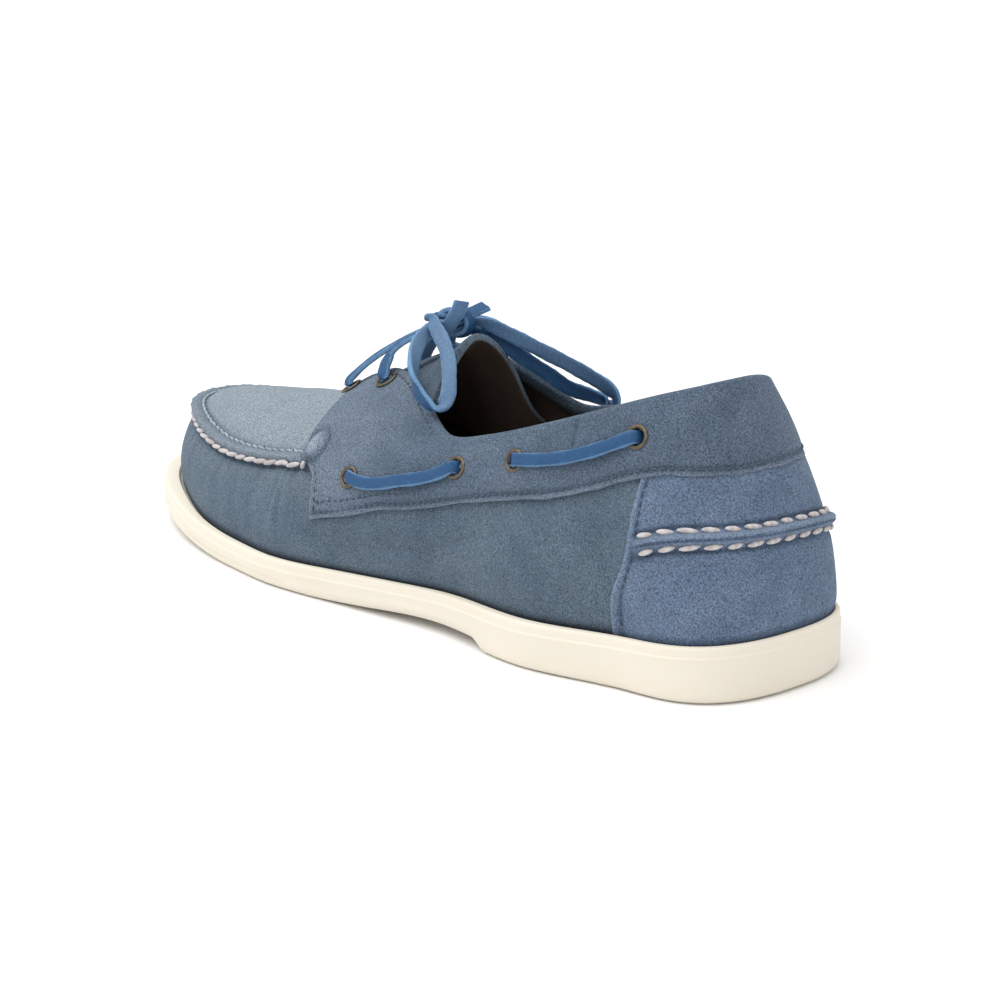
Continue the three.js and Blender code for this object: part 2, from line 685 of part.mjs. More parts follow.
add('lace_loop_outer', ribbon([
  V(-6.4, -1.4, 90.6), V(-9.0, -1.0, 92.2), V(-13.2, 1.0, 89.0), V(-17.5, 2.4, 81.5),
  V(-22.5, -1.0, 74.2), V(-27.8, -10.4, 69.8), V(-28.4, -20.2, 68.2), V(-23.4, -22.3, 70.2),
  V(-16.6, -16.4, 77.2), V(-11.4, -8.2, 84.6), V(-7.6, -3.2, 86.8),
], [
  V(0, 0.3, 1), V(-0.4, 0.2, 0.9), V(-0.9, 0.2, 0.5), V(-1, 0.3, 0.3), V(-1, 0.5, 0),
  V(-0.8, 0, -0.6), V(-0.4, -0.8, -0.5), V(0.2, -1, -0.2), V(0.5, -0.9, 0.3),
  V(0.5, -0.8, 0.5), V(0.4, -0.5, 0.8),
], 24), laceBlue);

add('lace_loop_inner', ribbon([
  V(4.6, -2.6, 90.4), V(10.0, -13.0, 86.4), V(20.5, -24.0, 77.0), V(32.0, -31.0, 66.2),
  V(39.4, -33.2, 61.0), V(42.4, -29.6, 58.4), V(40.4, -24.6, 61.4), V(33.5, -22.0, 67.0),
  V(24.0, -19.0, 71.6), V(12.5, -11.0, 79.6), V(6.2, -3.6, 84.2),
], [
  V(0.3, -0.3, 1), V(0.5, -0.3, 0.9), V(0.6, -0.3, 0.8), V(0.8, -0.3, 0.6), V(0.9, -0.5, 0.1),
  V(0.3, 0.9, -0.7), V(-0.5, 0.6, -0.7), V(-0.6, 0.3, -0.8), V(-0.5, 0.3, -0.8),
  V(-0.5, 0.3, -0.8), V(-0.4, 0.3, -0.9),
], 24), laceBlue);

add('lace_end_outer', ribbon([V(-2.5, -1.5, 92.4), V(-2.2, -4.0, 94.0), V(-1.2, -9.0, 95.0)],
  [V(-0.3, -0.2, 1), V(-0.3, -0.1, 1), V(-0.2, 0.2, 1)], 4), laceBlue);
add('lace_end_inner', ribbon([V(2.6, -0.6, 92.6), V(4.0, -5.0, 94.2), V(6.2, -12.0, 94.4)],
  [V(0.3, -0.2, 1), V(0.3, 0, 1), V(0.4, 0.2, 1)], 4), laceBlue);

export default shoe;
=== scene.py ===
# %% [markdown]
# A left boat shoe in blue-grey suede, standing empty on its sole. A maker stretches suede over a
# last, a solid form of the foot, and sews every panel on it. This lesson works the same way: the
# last is written once as a surface, and each panel, seam and stitch is laid on that surface.

# %% Setting up
import math
import bpy
import numpy as np
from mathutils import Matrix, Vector


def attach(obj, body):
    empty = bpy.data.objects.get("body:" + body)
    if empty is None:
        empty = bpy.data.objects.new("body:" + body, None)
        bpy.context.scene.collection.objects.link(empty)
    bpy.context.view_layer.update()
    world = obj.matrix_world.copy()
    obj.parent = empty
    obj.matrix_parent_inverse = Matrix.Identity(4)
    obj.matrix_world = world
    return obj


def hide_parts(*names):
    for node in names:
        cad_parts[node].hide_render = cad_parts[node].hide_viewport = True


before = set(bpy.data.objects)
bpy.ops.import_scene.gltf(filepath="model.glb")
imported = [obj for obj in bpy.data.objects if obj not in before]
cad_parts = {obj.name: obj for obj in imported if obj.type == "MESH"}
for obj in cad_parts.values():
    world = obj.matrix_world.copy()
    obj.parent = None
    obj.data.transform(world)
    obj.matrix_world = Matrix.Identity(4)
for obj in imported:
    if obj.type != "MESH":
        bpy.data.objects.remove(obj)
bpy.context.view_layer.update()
MM = 0.001

# %% [markdown]
# The camera stands behind the outer side, a little above the collar. Its place is given by the
# two angles and the distance to the shoe. Aiming it slightly beside the shoe puts the shoe left of
# the middle and low in the frame, with no lens shift.

# %% The camera
def camera_axes(azimuth, elevation):
    a, e = math.radians(azimuth), math.radians(elevation)
    back = Vector((math.sin(a) * math.cos(e), -math.cos(a) * math.cos(e), math.sin(e)))
    right = Vector((0, 0, 1)).cross(back).normalized()
    return back, right, back.cross(right)


back, right, up = camera_axes(-42.0, 14.6)
focal_px, centre_x, centre_y = 2769.0, 459.3, 463.8
bpy.ops.object.camera_add(location=Vector((0, 0, 0.040)) + back * 0.9)
camera = bpy.context.object
camera.name = "camera"
camera.data.sensor_width = 36.0
aim = -back * focal_px + right * (500 - centre_x) - up * (500 - centre_y)
camera.rotation_euler = aim.to_track_quat("-Z", "Y").to_euler()
camera.data.lens = aim.length * 36.0 / 1000.0
camera.data.clip_start = 0.01
bpy.context.scene.camera = camera
print("lens", round(camera.data.lens, 1), "mm")

# %% [markdown]
# The last is described by short tables. A row is a place along the shoe, from 0 at the heel to 1 at
# the toe, and the columns say how wide the sole is there, how high its rim, and how the side of the
# shoe bulges on its way to the top edge. Between the rows a smooth curve is read.

# %% Tables of the last
LENGTH, BALL = 294.0, 98.0
BED_DROP, GAP = 1.5, 0.3
SPINE, THROAT = 0.655, 0.63
CENTRE_SHIFT = 0.00115
OUTLINE = [  # at, centre, half: shares of the ball width
    (0.00, -0.008, 0.388), (0.11, -0.008, 0.388), (0.24, -0.058, 0.418), (0.375, -0.060, 0.375),
    (0.51, -0.057, 0.415), (0.63, -0.028, 0.477), (0.72, 0.014, 0.490), (0.82, 0.038, 0.486),
    (0.91, 0.052, 0.486), (1.00, 0.044, 0.486)]
RIM = [  # at, height
    (0.00, 18.0), (0.17, 15.5), (0.33, 14.0), (0.46, 12.2), (0.65, 9.7), (0.80, 10.6),
    (0.90, 14.2), (1.00, 17.5)]
PROFILE = [  # at, inset, bulge, rise, shoulder, drop
    (0.00, 3.0, 2.5, 22, 10.0, 18), (0.12, 3.5, 3.0, 22, 9.0, 20), (0.25, 4.5, 4.0, 22, 8.0, 22),
    (0.36, 4.0, 5.0, 20, 9.0, 18), (0.43, 3.5, 5.5, 18, 12.0, 12), (0.50, 3.5, 5.5, 19, 17.0, 9),
    (0.58, 3.5, 5.0, 20, 23.0, 6), (0.66, 4.0, 4.0, 21, 25.0, 4), (0.80, 5.0, 3.0, 20, 27.0, 1),
    (0.90, 6.2, 2.5, 18, 27.0, -0.5), (1.00, 7.0, 2.2, 17, 25.0, -1)]
EDGE = [  # at, y, half, z, inner side's extra y and z
    (0.00, -121, 22.0, 88.3, 0, 0.0),
    (0.03, -117, 22.0, 87.0, 0, -1.5),
    (0.06, -112, 22.5, 85.4, 0, -1.9),
    (0.12, -99, 25.0, 80.8, 0, -0.4),
    (0.25, -74, 30.0, 71.8, 0, 0.4),
    (0.36, -50, 31.5, 63.8, 1, -0.5),
    (0.43, -31, 31.0, 59.6, 5, -1.2),
    (0.49, -14, 24.0, 64.0, 0, 1.0),
    (0.54, 2, 16.0, 69.0, -5, 3.0),
    (0.59, 18, 9.5, 69.3, -2, 2.5),
    (0.63, 30, 7.5, 65.2, 0, 0.8),
    (0.655, 37, 7.5, 62.4, 0, 0.0),
    (0.70, 49, 7.5, 57.8, 0, 0.0),
    (0.80, 68, 7.5, 52.5, 0, 0.0),
    (0.90, 88, 7.5, 49.8, 0, 0.0),
    (1.00, 106, 7.5, 48.0, 0, 0.0)]
SEAM = [  # at, share of the way up, height of the raised seam
    (0.00, 0.50, 0), (0.54, 0.49, 0), (0.59, 0.480, 0), (0.606, 0.479, 1.8), (0.65, 0.474, 2.4),
    (0.70, 0.465, 2.6), (0.80, 0.457, 2.8), (0.87, 0.470, 2.8),
    (0.93, 0.500, 2.8), (1.00, 0.535, 2.8)]
SADDLE = [  # at, share of the way up of the saddle's lower edge
    (0.000, 0.630), (0.062, 0.668), (0.124, 0.656), (0.193, 0.636), (0.261, 0.630),
    (0.334, 0.610), (0.400, 0.556), (0.464, 0.436), (0.525, 0.307), (0.575, 0.244)]
SADDLE_FRONT = [
    (0.575, 0.244), (0.583, 0.330), (0.592, 0.420), (0.612, 0.468), (0.624, 0.530), (0.630, 0.610),
    (0.633, 0.710), (0.637, 0.830), (0.655, 0.920), (0.688, 1.000)]
COUNTER = [  # share of the way up, at: front edge of the heel counter
    (0.00, 0.131), (0.20, 0.128), (0.37, 0.107), (0.59, 0.0880), (0.69, 0.0780)]


def smooth_read(rows, column, at):
    rows = np.array(rows, float)
    x, y, last = rows[:, 0], rows[:, column], len(rows) - 1
    ahead, behind = np.minimum(np.arange(last + 1) + 1, last), np.maximum(np.arange(last + 1) - 1, 0)
    slope = (y[ahead] - y[behind]) / (x[ahead] - x[behind])
    at = np.clip(np.asarray(at, float), x[0], x[-1])
    k = np.clip(np.searchsorted(x, at, side="right") - 1, 0, last - 1)
    h = x[k + 1] - x[k]
    t = (at - x[k]) / h
    return ((2 * t**3 - 3 * t**2 + 1) * y[k] + (t**3 - 2 * t**2 + t) * h * slope[k]
            + (3 * t**2 - 2 * t**3) * y[k + 1] + (t**3 - t**2) * h * slope[k + 1])


def straight_read(rows, column, at):
    rows = np.array(rows, float)
    return np.interp(at, rows[:, 0], rows[:, column])


print("the last has", len(EDGE), "rows for its top edge")

# %% [markdown]
# A point on the last has two coordinates. u runs once round the shoe, from the heel back along the
# outer side to the toe and home on the inner side. v climbs from the foot of the upper to its top
# edge. A third number lifts a point off the surface, which is how a panel gets its place.

# %% Points on the last
def station(u):
    return (1 - np.cos(2 * np.pi * np.asarray(u, float))) / 2


def ring_at(s):
    return np.arccos(1 - 2 * np.clip(np.asarray(s, float), 0, 1)) / (2 * np.pi)


def outer_side(u):
    return np.mod(u, 1.0) < 0.5


def round_end(distance, reach, power):
    q = np.clip(1 - distance / reach, 0, 1)
    return (1 - q**power) ** (1 / power)


def sole_outline(u):
    s = station(u)
    half = smooth_read(OUTLINE, 2, s) * BALL * round_end(s, 0.11, 2.5) * round_end(1 - s, 0.30, 2.05)
    middle = (smooth_read(OUTLINE, 1, s) - CENTRE_SHIFT) * BALL
    return np.stack([middle + np.where(outer_side(u), -half, half), LENGTH * (s - 0.5)], -1)


def outline_normal(u):
    d = sole_outline(u + 1e-3) - sole_outline(u - 1e-3)
    d /= np.linalg.norm(d, axis=-1, keepdims=True)
    return np.stack([-d[..., 1], d[..., 0]], -1)


def middle_slope(s):
    a, b = np.clip(s - 1e-3, 0, 1), np.clip(s + 1e-3, 0, 1)
    rise = smooth_read(EDGE, 3, b) - smooth_read(EDGE, 3, a)
    return np.where(s < SPINE, 0, rise / (smooth_read(EDGE, 1, b) - smooth_read(EDGE, 1, a) + 1e-12))


def top_edge(u):
    s = station(u)
    half = np.where(s < SPINE, smooth_read(EDGE, 2, s), 0)
    closing = np.sqrt(np.clip(1 - ((s - THROAT) / (SPINE - THROAT)) ** 2, 0, 1))
    half = np.where((s > THROAT) & (s < SPINE), half * closing, half) * round_end(s, 0.12, 2.3)
    middle = 3 * np.clip((s - 0.7) / 0.3, 0, 1)
    plain = outer_side(u) | (s >= SPINE - 1e-6)
    return np.stack([middle + np.where(outer_side(u), -half, half),
                     smooth_read(EDGE, 1, s) + np.where(plain, 0, smooth_read(EDGE, 4, s)),
                     smooth_read(EDGE, 3, s) + np.where(plain, 0, smooth_read(EDGE, 5, s))], -1)


def bare_last(u, v):
    u, v = np.broadcast_arrays(np.asarray(u, float), np.asarray(v, float))
    s, n2 = station(u), outline_normal(u)
    flat = sole_outline(u) - n2 * smooth_read(PROFILE, 1, s)[..., None]
    foot = np.concatenate([flat, (smooth_read(RIM, 1, s) - BED_DROP + GAP)[..., None]], -1)
    top = top_edge(u)
    n = np.concatenate([n2, np.zeros_like(n2[..., :1])], -1)
    low = foot + n * smooth_read(PROFILE, 2, s)[..., None]
    low[..., 2] += smooth_read(PROFILE, 3, s)
    shoulder = smooth_read(PROFILE, 4, s)
    high = top + n * shoulder[..., None]
    high[..., 2] += middle_slope(s) * n2[..., 1] * shoulder - smooth_read(PROFILE, 5, s)
    v = v[..., None]
    w = 1 - v
    return w**3 * foot + 3 * w * w * v * low + 3 * w * v * v * high + v**3 * top


def last_normal(u, v):
    u, v = np.broadcast_arrays(np.asarray(u, float), np.asarray(v, float))
    w, e = np.clip(v, 0.01, 0.975), 1.5e-3
    n = np.cross(bare_last(u, w + 0.01) - bare_last(u, w - 0.01), bare_last(u + e, w) - bare_last(u - e, w))
    s = station(u)
    slope = middle_slope(np.maximum(s, SPINE + 2e-3))
    flat = np.stack([np.zeros_like(slope), -slope, np.ones_like(slope)], -1)
    n = np.where(((v > 0.995) & (s >= SPINE - 1e-6))[..., None], flat, n)
    return n / np.linalg.norm(n, axis=-1, keepdims=True)


def on_last(u, v, out=0.0):
    out = np.asarray(out, float)
    return bare_last(u, v) + last_normal(u, v) * out[..., None]


print("heel back of the collar at", np.round(on_last(0.0, 1.0), 1), "mm")

# %% [markdown]
# Each panel is cut from a flat sheet. A grid primitive stands for the sheet, and its points are
# then laid on the last, which no operator could do as exactly. Solidify gives it the thickness of
# real leather, on the inner side, so the face that shows stays where the last puts it.

# %% Helpers for cutting and sewing
def deselect():
    bpy.ops.object.select_all(action="DESELECT")


def pick(piece):
    deselect()
    piece.select_set(True)
    bpy.context.view_layer.objects.active = piece


def sheet_on(name, points, ring=False):
    """Lays a grid of leather on points[column][row], in millimetres."""
    nc, nr = points.shape[:2]
    deselect()
    bpy.ops.mesh.primitive_grid_add(x_subdivisions=nc - 1, y_subdivisions=nr - 1, size=2)
    piece = bpy.context.object
    piece.name = name
    mesh = piece.data
    mesh.name = name
    flat = np.empty(len(mesh.vertices) * 3)
    mesh.vertices.foreach_get("co", flat)
    flat = flat.reshape(-1, 3)
    i = np.rint((flat[:, 0] + 1) / 2 * (nc - 1)).astype(int)
    j = np.rint((flat[:, 1] + 1) / 2 * (nr - 1)).astype(int)
    mesh.vertices.foreach_set("co", (points[i, j] * MM).ravel())
    mesh.update()
    pick(piece)
    bpy.ops.object.mode_set(mode="EDIT")
    bpy.ops.mesh.select_all(action="SELECT")
    if ring:
        bpy.ops.mesh.remove_doubles(threshold=2e-5)
    bpy.ops.mesh.flip_normals()
    bpy.ops.object.mode_set(mode="OBJECT")
    bpy.ops.object.shade_smooth()
    return piece


def corners(piece):
    co = np.empty(len(piece.data.vertices) * 3)
    piece.data.vertices.foreach_get("co", co)
    return co.reshape(-1, 3) / MM


def finish_modifier(piece, kind, **values):
    pick(piece)
    modifier = piece.modifiers.new(kind.lower(), kind)
    for key, value in values.items():
        setattr(modifier, key, value)
    bpy.ops.object.modifier_apply(modifier=modifier.name)


def write_attribute(piece, name, values):
    layer = piece.data.attributes.new(name, "FLOAT", "POINT")
    layer.data.foreach_set("value", np.asarray(values, np.float32))


def bump_at(distance, width):
    return np.exp(-((distance / width) ** 2))


def soft_step(x):
    x = np.clip(x, 0, 1)
    return x * x * (3 - 2 * x)


print("helpers ready")

# %% [markdown]
# Suede is the flesh side of a hide, brushed until it has a nap of short fibres. To the eye it has
# no gloss at all: it scatters light, goes paler at grazing angles and shows darker and paler strokes
# where the nap lies another way. So its roughness is near 1, a little sheen gives the pale edge, and
# the colour is broken up at two scales: tufts of fibres half a millimetre wide, coarser than the real
# ones so that they show in the render, and faint strokes over a centimetre.
# A vertex attribute named shade paints light and shade into the colour: above zero it leads it towards a
# pale colour, mostly as a painted highlight, and below zero it darkens it, mostly as painted shade.

# %% Colours and the node helper
def linear(hex_code):
    value = [int(hex_code[i:i + 2], 16) / 255 for i in (1, 3, 5)]
    return tuple(c / 12.92 if c <= 0.04045 else ((c + 0.055) / 1.055) ** 2.4 for c in value) + (1.0,)


def add_node(material, kind, settings=None, links=None):
    """Adds one node, sets its properties or sockets, and links its inputs from given sockets."""
    node = material.node_tree.nodes.new(kind)
    for key, value in (settings or {}).items():
        if isinstance(key, str) and key.startswith("."):
            setattr(node, key[1:], value)
        else:
            node.inputs[key].default_value = value
    for key, source in (links or {}).items():
        material.node_tree.links.new(source, node.inputs[key])
    return node


def new_material(name):
    material = bpy.data.materials.new(name)
    material.use_nodes = True
    shader = material.node_tree.nodes["Principled BSDF"]
    return material, shader


def per_mm(size):
    """Noise scale for a feature of this size in millimetres, on coordinates in metres."""
    return 1.0 / (size * MM)


def brushed_suede(name, dark, pale, light, strokes=16.0):
    material, shader = new_material(name)
    place = add_node(material, "ShaderNodeTexCoord").outputs["Object"]
    stroke = add_node(material, "ShaderNodeTexNoise", {"Scale": per_mm(strokes), "Detail": 4.0,
                      "Roughness": 0.62, "Distortion": 0.5}, {"Vector": place})
    fibre = add_node(material, "ShaderNodeTexNoise",
                     {"Scale": per_mm(0.50), "Detail": 2.0, "Roughness": 0.6},
                     {"Vector": place})
    ramp = add_node(material, "ShaderNodeValToRGB", {}, {"Fac": stroke.outputs["Fac"]})
    ramp.color_ramp.elements[0].position, ramp.color_ramp.elements[0].color = 0.30, linear(dark)
    ramp.color_ramp.elements[1].position, ramp.color_ramp.elements[1].color = 0.70, linear(pale)
    # painted light map: the shade attribute, which carries painted highlights and painted shade
    painted_light_map = add_node(material, "ShaderNodeAttribute", {".attribute_name": "shade"})
    # above zero the colour is led towards the pale colour as a painted highlight
    painted_highlight = add_node(material, "ShaderNodeMix", {".data_type": "RGBA", 7: linear(light)},
                      {0: painted_light_map.outputs["Fac"], 6: ramp.outputs["Color"]})
    speck = add_node(material, "ShaderNodeMapRange", {"From Min": 0.3, "From Max": 0.7, "To Min": 0.42,
                     "To Max": 1.58}, {"Value": fibre.outputs["Fac"]})
    # below zero the shade attribute darkens the colour as painted shade
    painted_shade_part = add_node(material, "ShaderNodeMath", {".operation": "MINIMUM", 1: 0.0},
                       {0: painted_light_map.outputs["Fac"]})
    painted_shade_factor = add_node(material, "ShaderNodeMath", {".operation": "ADD", 1: 1.0},
                    {0: painted_shade_part.outputs["Value"]})
    level = add_node(material, "ShaderNodeMath", {".operation": "MULTIPLY"},
                     {0: speck.outputs["Result"], 1: painted_shade_factor.outputs["Value"]})
    colour = add_node(material, "ShaderNodeVectorMath", {".operation": "SCALE"},
                      {0: painted_highlight.outputs[2], "Scale": level.outputs["Value"]})
    relief = add_node(material, "ShaderNodeBump", {"Strength": 0.6, "Distance": 0.0004},
                      {"Height": fibre.outputs["Fac"]})
    links = material.node_tree.links
    links.new(colour.outputs["Vector"], shader.inputs["Base Color"])
    links.new(relief.outputs["Normal"], shader.inputs["Normal"])
    shader.inputs["Roughness"].default_value = 0.95
    shader.inputs["Specular IOR Level"].default_value = 0.12
    shader.inputs["Sheen Weight"].default_value = 0.22
    shader.inputs["Sheen Roughness"].default_value = 0.5
    shader.inputs["Sheen Tint"].default_value = linear("#aebccb")
    return material


# The third colour of each suede is the pale colour that its painted highlights lead towards.
suede = brushed_suede("brushed suede", "#4c5a69", "#5a6875", "#a3adb3")
overlay_suede = brushed_suede("brushed suede overlay", "#4a5867", "#576475", "#929daa", 13.0)
counter_suede = brushed_suede("brushed suede counter", "#4c5c72", "#5c6c84", "#96a4b4", 13.0)
print("suede:", suede.name, "and", overlay_suede.name)

# %% [markdown]
# The lining is dark brown leather with its grain side in, smooth and faintly glossy where the foot
# polishes it. The footbed is covered with the same leather.

# %% Lining leather
def grain_leather(name, dark, plain, roughness, grain=1.1):
    material, shader = new_material(name)
    place = add_node(material, "ShaderNodeTexCoord").outputs["Object"]
    pores = add_node(material, "ShaderNodeTexVoronoi", {"Scale": per_mm(grain)}, {"Vector": place})
    cloud = add_node(material, "ShaderNodeTexNoise", {"Scale": per_mm(14.0), "Detail": 3.0},
                     {"Vector": place})
    tint = add_node(material, "ShaderNodeMix", {".data_type": "RGBA", 6: linear(dark), 7: linear(plain)},
                    {0: cloud.outputs["Fac"]})
    relief = add_node(material, "ShaderNodeBump", {"Strength": 0.3, "Distance": 0.0003},
                      {"Height": pores.outputs["Distance"]})
    links = material.node_tree.links
    links.new(tint.outputs[2], shader.inputs["Base Color"])
    links.new(relief.outputs["Normal"], shader.inputs["Normal"])
    shader.inputs["Roughness"].default_value = roughness
    return material


lining_leather = grain_leather("brown lining leather", "#42362f", "#55463d", 0.8)
print("lining:", lining_leather.name)

# %% [markdown]
# Soles of this kind are moulded from a warm white rubber. Rubber has an IOR of about 1.5 and a soft
# sheen, here around roughness 0.55, and carries the faint texture of its mould and a little dust.

# %% Moulded rubber
def moulded_rubber(name, plain, dusty):
    material, shader = new_material(name)
    place = add_node(material, "ShaderNodeTexCoord").outputs["Object"]
    cloud = add_node(material, "ShaderNodeTexNoise", {"Scale": per_mm(30.0), "Detail": 4.0},
                     {"Vector": place})
    tint = add_node(material, "ShaderNodeMix", {".data_type": "RGBA", 6: linear(plain), 7: linear(dusty)},
                    {0: cloud.outputs["Fac"]})
    mould = add_node(material, "ShaderNodeTexNoise", {"Scale": per_mm(0.9), "Detail": 2.0},
                     {"Vector": place})
    relief = add_node(material, "ShaderNodeBump", {"Strength": 0.12, "Distance": 0.0002},
                      {"Height": mould.outputs["Fac"]})
    links = material.node_tree.links
    links.new(tint.outputs[2], shader.inputs["Base Color"])
    links.new(relief.outputs["Normal"], shader.inputs["Normal"])
    shader.inputs["Roughness"].default_value = 0.55
    shader.inputs["IOR"].default_value = 1.5
    shader.inputs["Subsurface Weight"].default_value = 0.05
    shader.inputs["Subsurface Scale"].default_value = 0.003
    return material


sole_rubber = moulded_rubber("moulded cream rubber", "#e7dfd1", "#dfd7c6")
print("rubber:", sole_rubber.name)

# %% [markdown]
# The laces are strips of drum-dyed leather, smooth and saturated on the face and fuzzy and paler on
# the back, with raw pale edges where the strip was cut. One map from a vertex attribute says which
# side is which, so the colour follows the strip however it turns.

# %% Lace leather
def lace_leather(name, face, back_side, edge):
    material, shader = new_material(name)
    place = add_node(material, "ShaderNodeTexCoord").outputs["Object"]
    fuzz_and_shade = add_node(material, "ShaderNodeTexNoise", {"Scale": per_mm(0.6), "Detail": 3.0, "Roughness": 0.7},
                    {"Vector": place})
    side = add_node(material, "ShaderNodeAttribute", {".attribute_name": "back"})
    rim = add_node(material, "ShaderNodeAttribute", {".attribute_name": "rim"})
    tint = add_node(material, "ShaderNodeMix",
                    {".data_type": "RGBA", 6: linear(face), 7: linear(back_side)},
                    {0: side.outputs["Fac"]})
    trim = add_node(material, "ShaderNodeMix", {".data_type": "RGBA", 7: linear(edge)},
                    {0: rim.outputs["Fac"], 6: tint.outputs[2]})
    speck = add_node(material, "ShaderNodeMapRange", {"From Min": 0.3, "From Max": 0.7, "To Min": 0.74,
                     "To Max": 1.26}, {"Value": fuzz_and_shade.outputs["Fac"]})
    colour = add_node(material, "ShaderNodeVectorMath", {".operation": "SCALE"},
                      {0: trim.outputs[2], "Scale": speck.outputs["Result"]})
    relief = add_node(material, "ShaderNodeBump", {"Strength": 0.35, "Distance": 0.0002},
                      {"Height": fuzz_and_shade.outputs["Fac"]})
    links = material.node_tree.links
    links.new(colour.outputs["Vector"], shader.inputs["Base Color"])
    links.new(relief.outputs["Normal"], shader.inputs["Normal"])
    shader.inputs["Roughness"].default_value = 0.6
    shader.inputs["Specular IOR Level"].default_value = 0.35
    return material


blue_lace = lace_leather("drum-dyed lace leather", "#1e4a73", "#587595", "#6890b6")
print("lace:", blue_lace.name)

# %% [markdown]
# Eyelets are stamped brass with an antique finish: a dark brown patina that is rubbed back to
# metal on the high rim. Metal keeps its default IOR; the roughness is what the patina gives.

# %% Antique brass and sewing thread
def antique_brass():
    material, shader = new_material("antique brass")
    place = add_node(material, "ShaderNodeTexCoord").outputs["Object"]
    patina = add_node(material, "ShaderNodeTexNoise", {"Scale": per_mm(1.6), "Detail": 4.0},
                      {"Vector": place})
    tint = add_node(material, "ShaderNodeMix",
                    {".data_type": "RGBA", 6: linear("#3c332a"), 7: linear("#857a69")},
                    {0: patina.outputs["Fac"]})
    rough = add_node(material, "ShaderNodeMapRange", {"To Min": 0.35, "To Max": 0.6},
                     {"Value": patina.outputs["Fac"]})
    material.node_tree.links.new(tint.outputs[2], shader.inputs["Base Color"])
    material.node_tree.links.new(rough.outputs["Result"], shader.inputs["Roughness"])
    shader.inputs["Metallic"].default_value = 0.85
    return material


def waxed_thread(name, plain, shaded):
    material, shader = new_material(name)
    place = add_node(material, "ShaderNodeTexCoord").outputs["Object"]
    twist = add_node(material, "ShaderNodeTexWave", {"Scale": per_mm(7.0), "Distortion": 4.0},
                     {"Vector": place})
    tint = add_node(material, "ShaderNodeMix", {".data_type": "RGBA", 6: linear(shaded), 7: linear(plain)},
                    {0: twist.outputs["Fac"]})
    relief = add_node(material, "ShaderNodeBump", {"Strength": 0.15, "Distance": 0.0001},
                      {"Height": twist.outputs["Fac"]})
    material.node_tree.links.new(tint.outputs[2], shader.inputs["Base Color"])
    material.node_tree.links.new(relief.outputs["Normal"], shader.inputs["Normal"])
    shader.inputs["Roughness"].default_value = 0.8
    return material


brass = antique_brass()
white_thread = waxed_thread("waxed off-white thread", "#c6c0c0", "#b0a9a8")
blue_thread = waxed_thread("blue-grey sewing thread", "#4b5866", "#3f4b57")
edge_thread = waxed_thread("pale blue sewing thread", "#a2adb4", "#8b969e")
print("hardware and thread:", brass.name, white_thread.name, blue_thread.name)

# %% [markdown]
# The moccasin seam is what makes this shoe. The side of the upper is gathered against the apron and
# both edges are sewn together by hand, which leaves a raised roll with a pucker at every stitch. The
# seam runs round the toe at a known share of the way up, so its length is measured first, and
# puckers and stitches are then both counted along that length.

# %% Measuring the moccasin seam
SEAM_END = 0.598
STITCH_PITCH = 6.1


def seam_up(s):
    return smooth_read(SEAM, 1, s)


seam_u = np.linspace(float(ring_at(SEAM_END)), 1 - float(ring_at(SEAM_END)), 1200)
seam_line = on_last(seam_u, seam_up(station(seam_u)))
seam_length = np.concatenate([[0], np.cumsum(np.linalg.norm(np.diff(seam_line, axis=0), axis=1))])
print("moccasin seam", round(seam_length[-1]), "mm,", int(seam_length[-1] / STITCH_PITCH), "stitches")


def along_seam(u):
    return np.interp(np.mod(u, 1.0), seam_u, seam_length)


def climb(u, v):
    """Millimetres of surface for one unit of v."""
    return np.linalg.norm(bare_last(u, v + 0.01) - bare_last(u, v - 0.01), axis=-1) / 0.02


# %% [markdown]
# Worn and stretched suede is never smooth. Creases are listed in a short table: where each
# one is, which way it runs, how long, wide and deep it is. Each becomes a soft trough with a low
# swell beside it. The moccasin roll and its puckers come on top.

# %% Relief of the suede
CREASES = [  # side (-1 outer, 1 inner), at, up, length, width, depth in mm, lean in degrees
    (-1, 0.640, 0.33, 26, 3.2, 0.55, 80), (-1, 0.655, 0.36, 18, 2.6, 0.40, 95),
    (-1, 0.700, 0.30, 30, 6.0, 0.50, 70), (-1, 0.790, 0.28, 24, 5.5, 0.40, 60),
    (-1, 0.560, 0.16, 34, 6.5, 0.50, 15), (-1, 0.470, 0.20, 40, 7.0, 0.45, -10),
    (-1, 0.350, 0.36, 46, 7.5, 0.50, -20), (-1, 0.240, 0.30, 34, 6.0, 0.40, 35),
    (-1, 0.150, 0.42, 26, 5.0, 0.35, 60), (-1, 0.880, 0.30, 20, 5.0, 0.30, 80),
    (1, 0.650, 0.34, 24, 3.2, 0.50, 85), (1, 0.710, 0.30, 30, 6.0, 0.45, 70),
    (1, 0.580, 0.18, 34, 6.5, 0.50, 10), (1, 0.430, 0.25, 44, 7.0, 0.50, -15),
    (1, 0.300, 0.36, 40, 7.0, 0.45, -20), (1, 0.180, 0.40, 28, 5.5, 0.40, 40),
    (-1, 0.720, 0.78, 30, 5.0, 0.35, 95), (1, 0.735, 0.80, 28, 5.0, 0.35, 85),
    (-1, 0.800, 0.86, 34, 7.0, 0.30, 100), (1, 0.690, 0.70, 22, 4.5, 0.30, 75)]


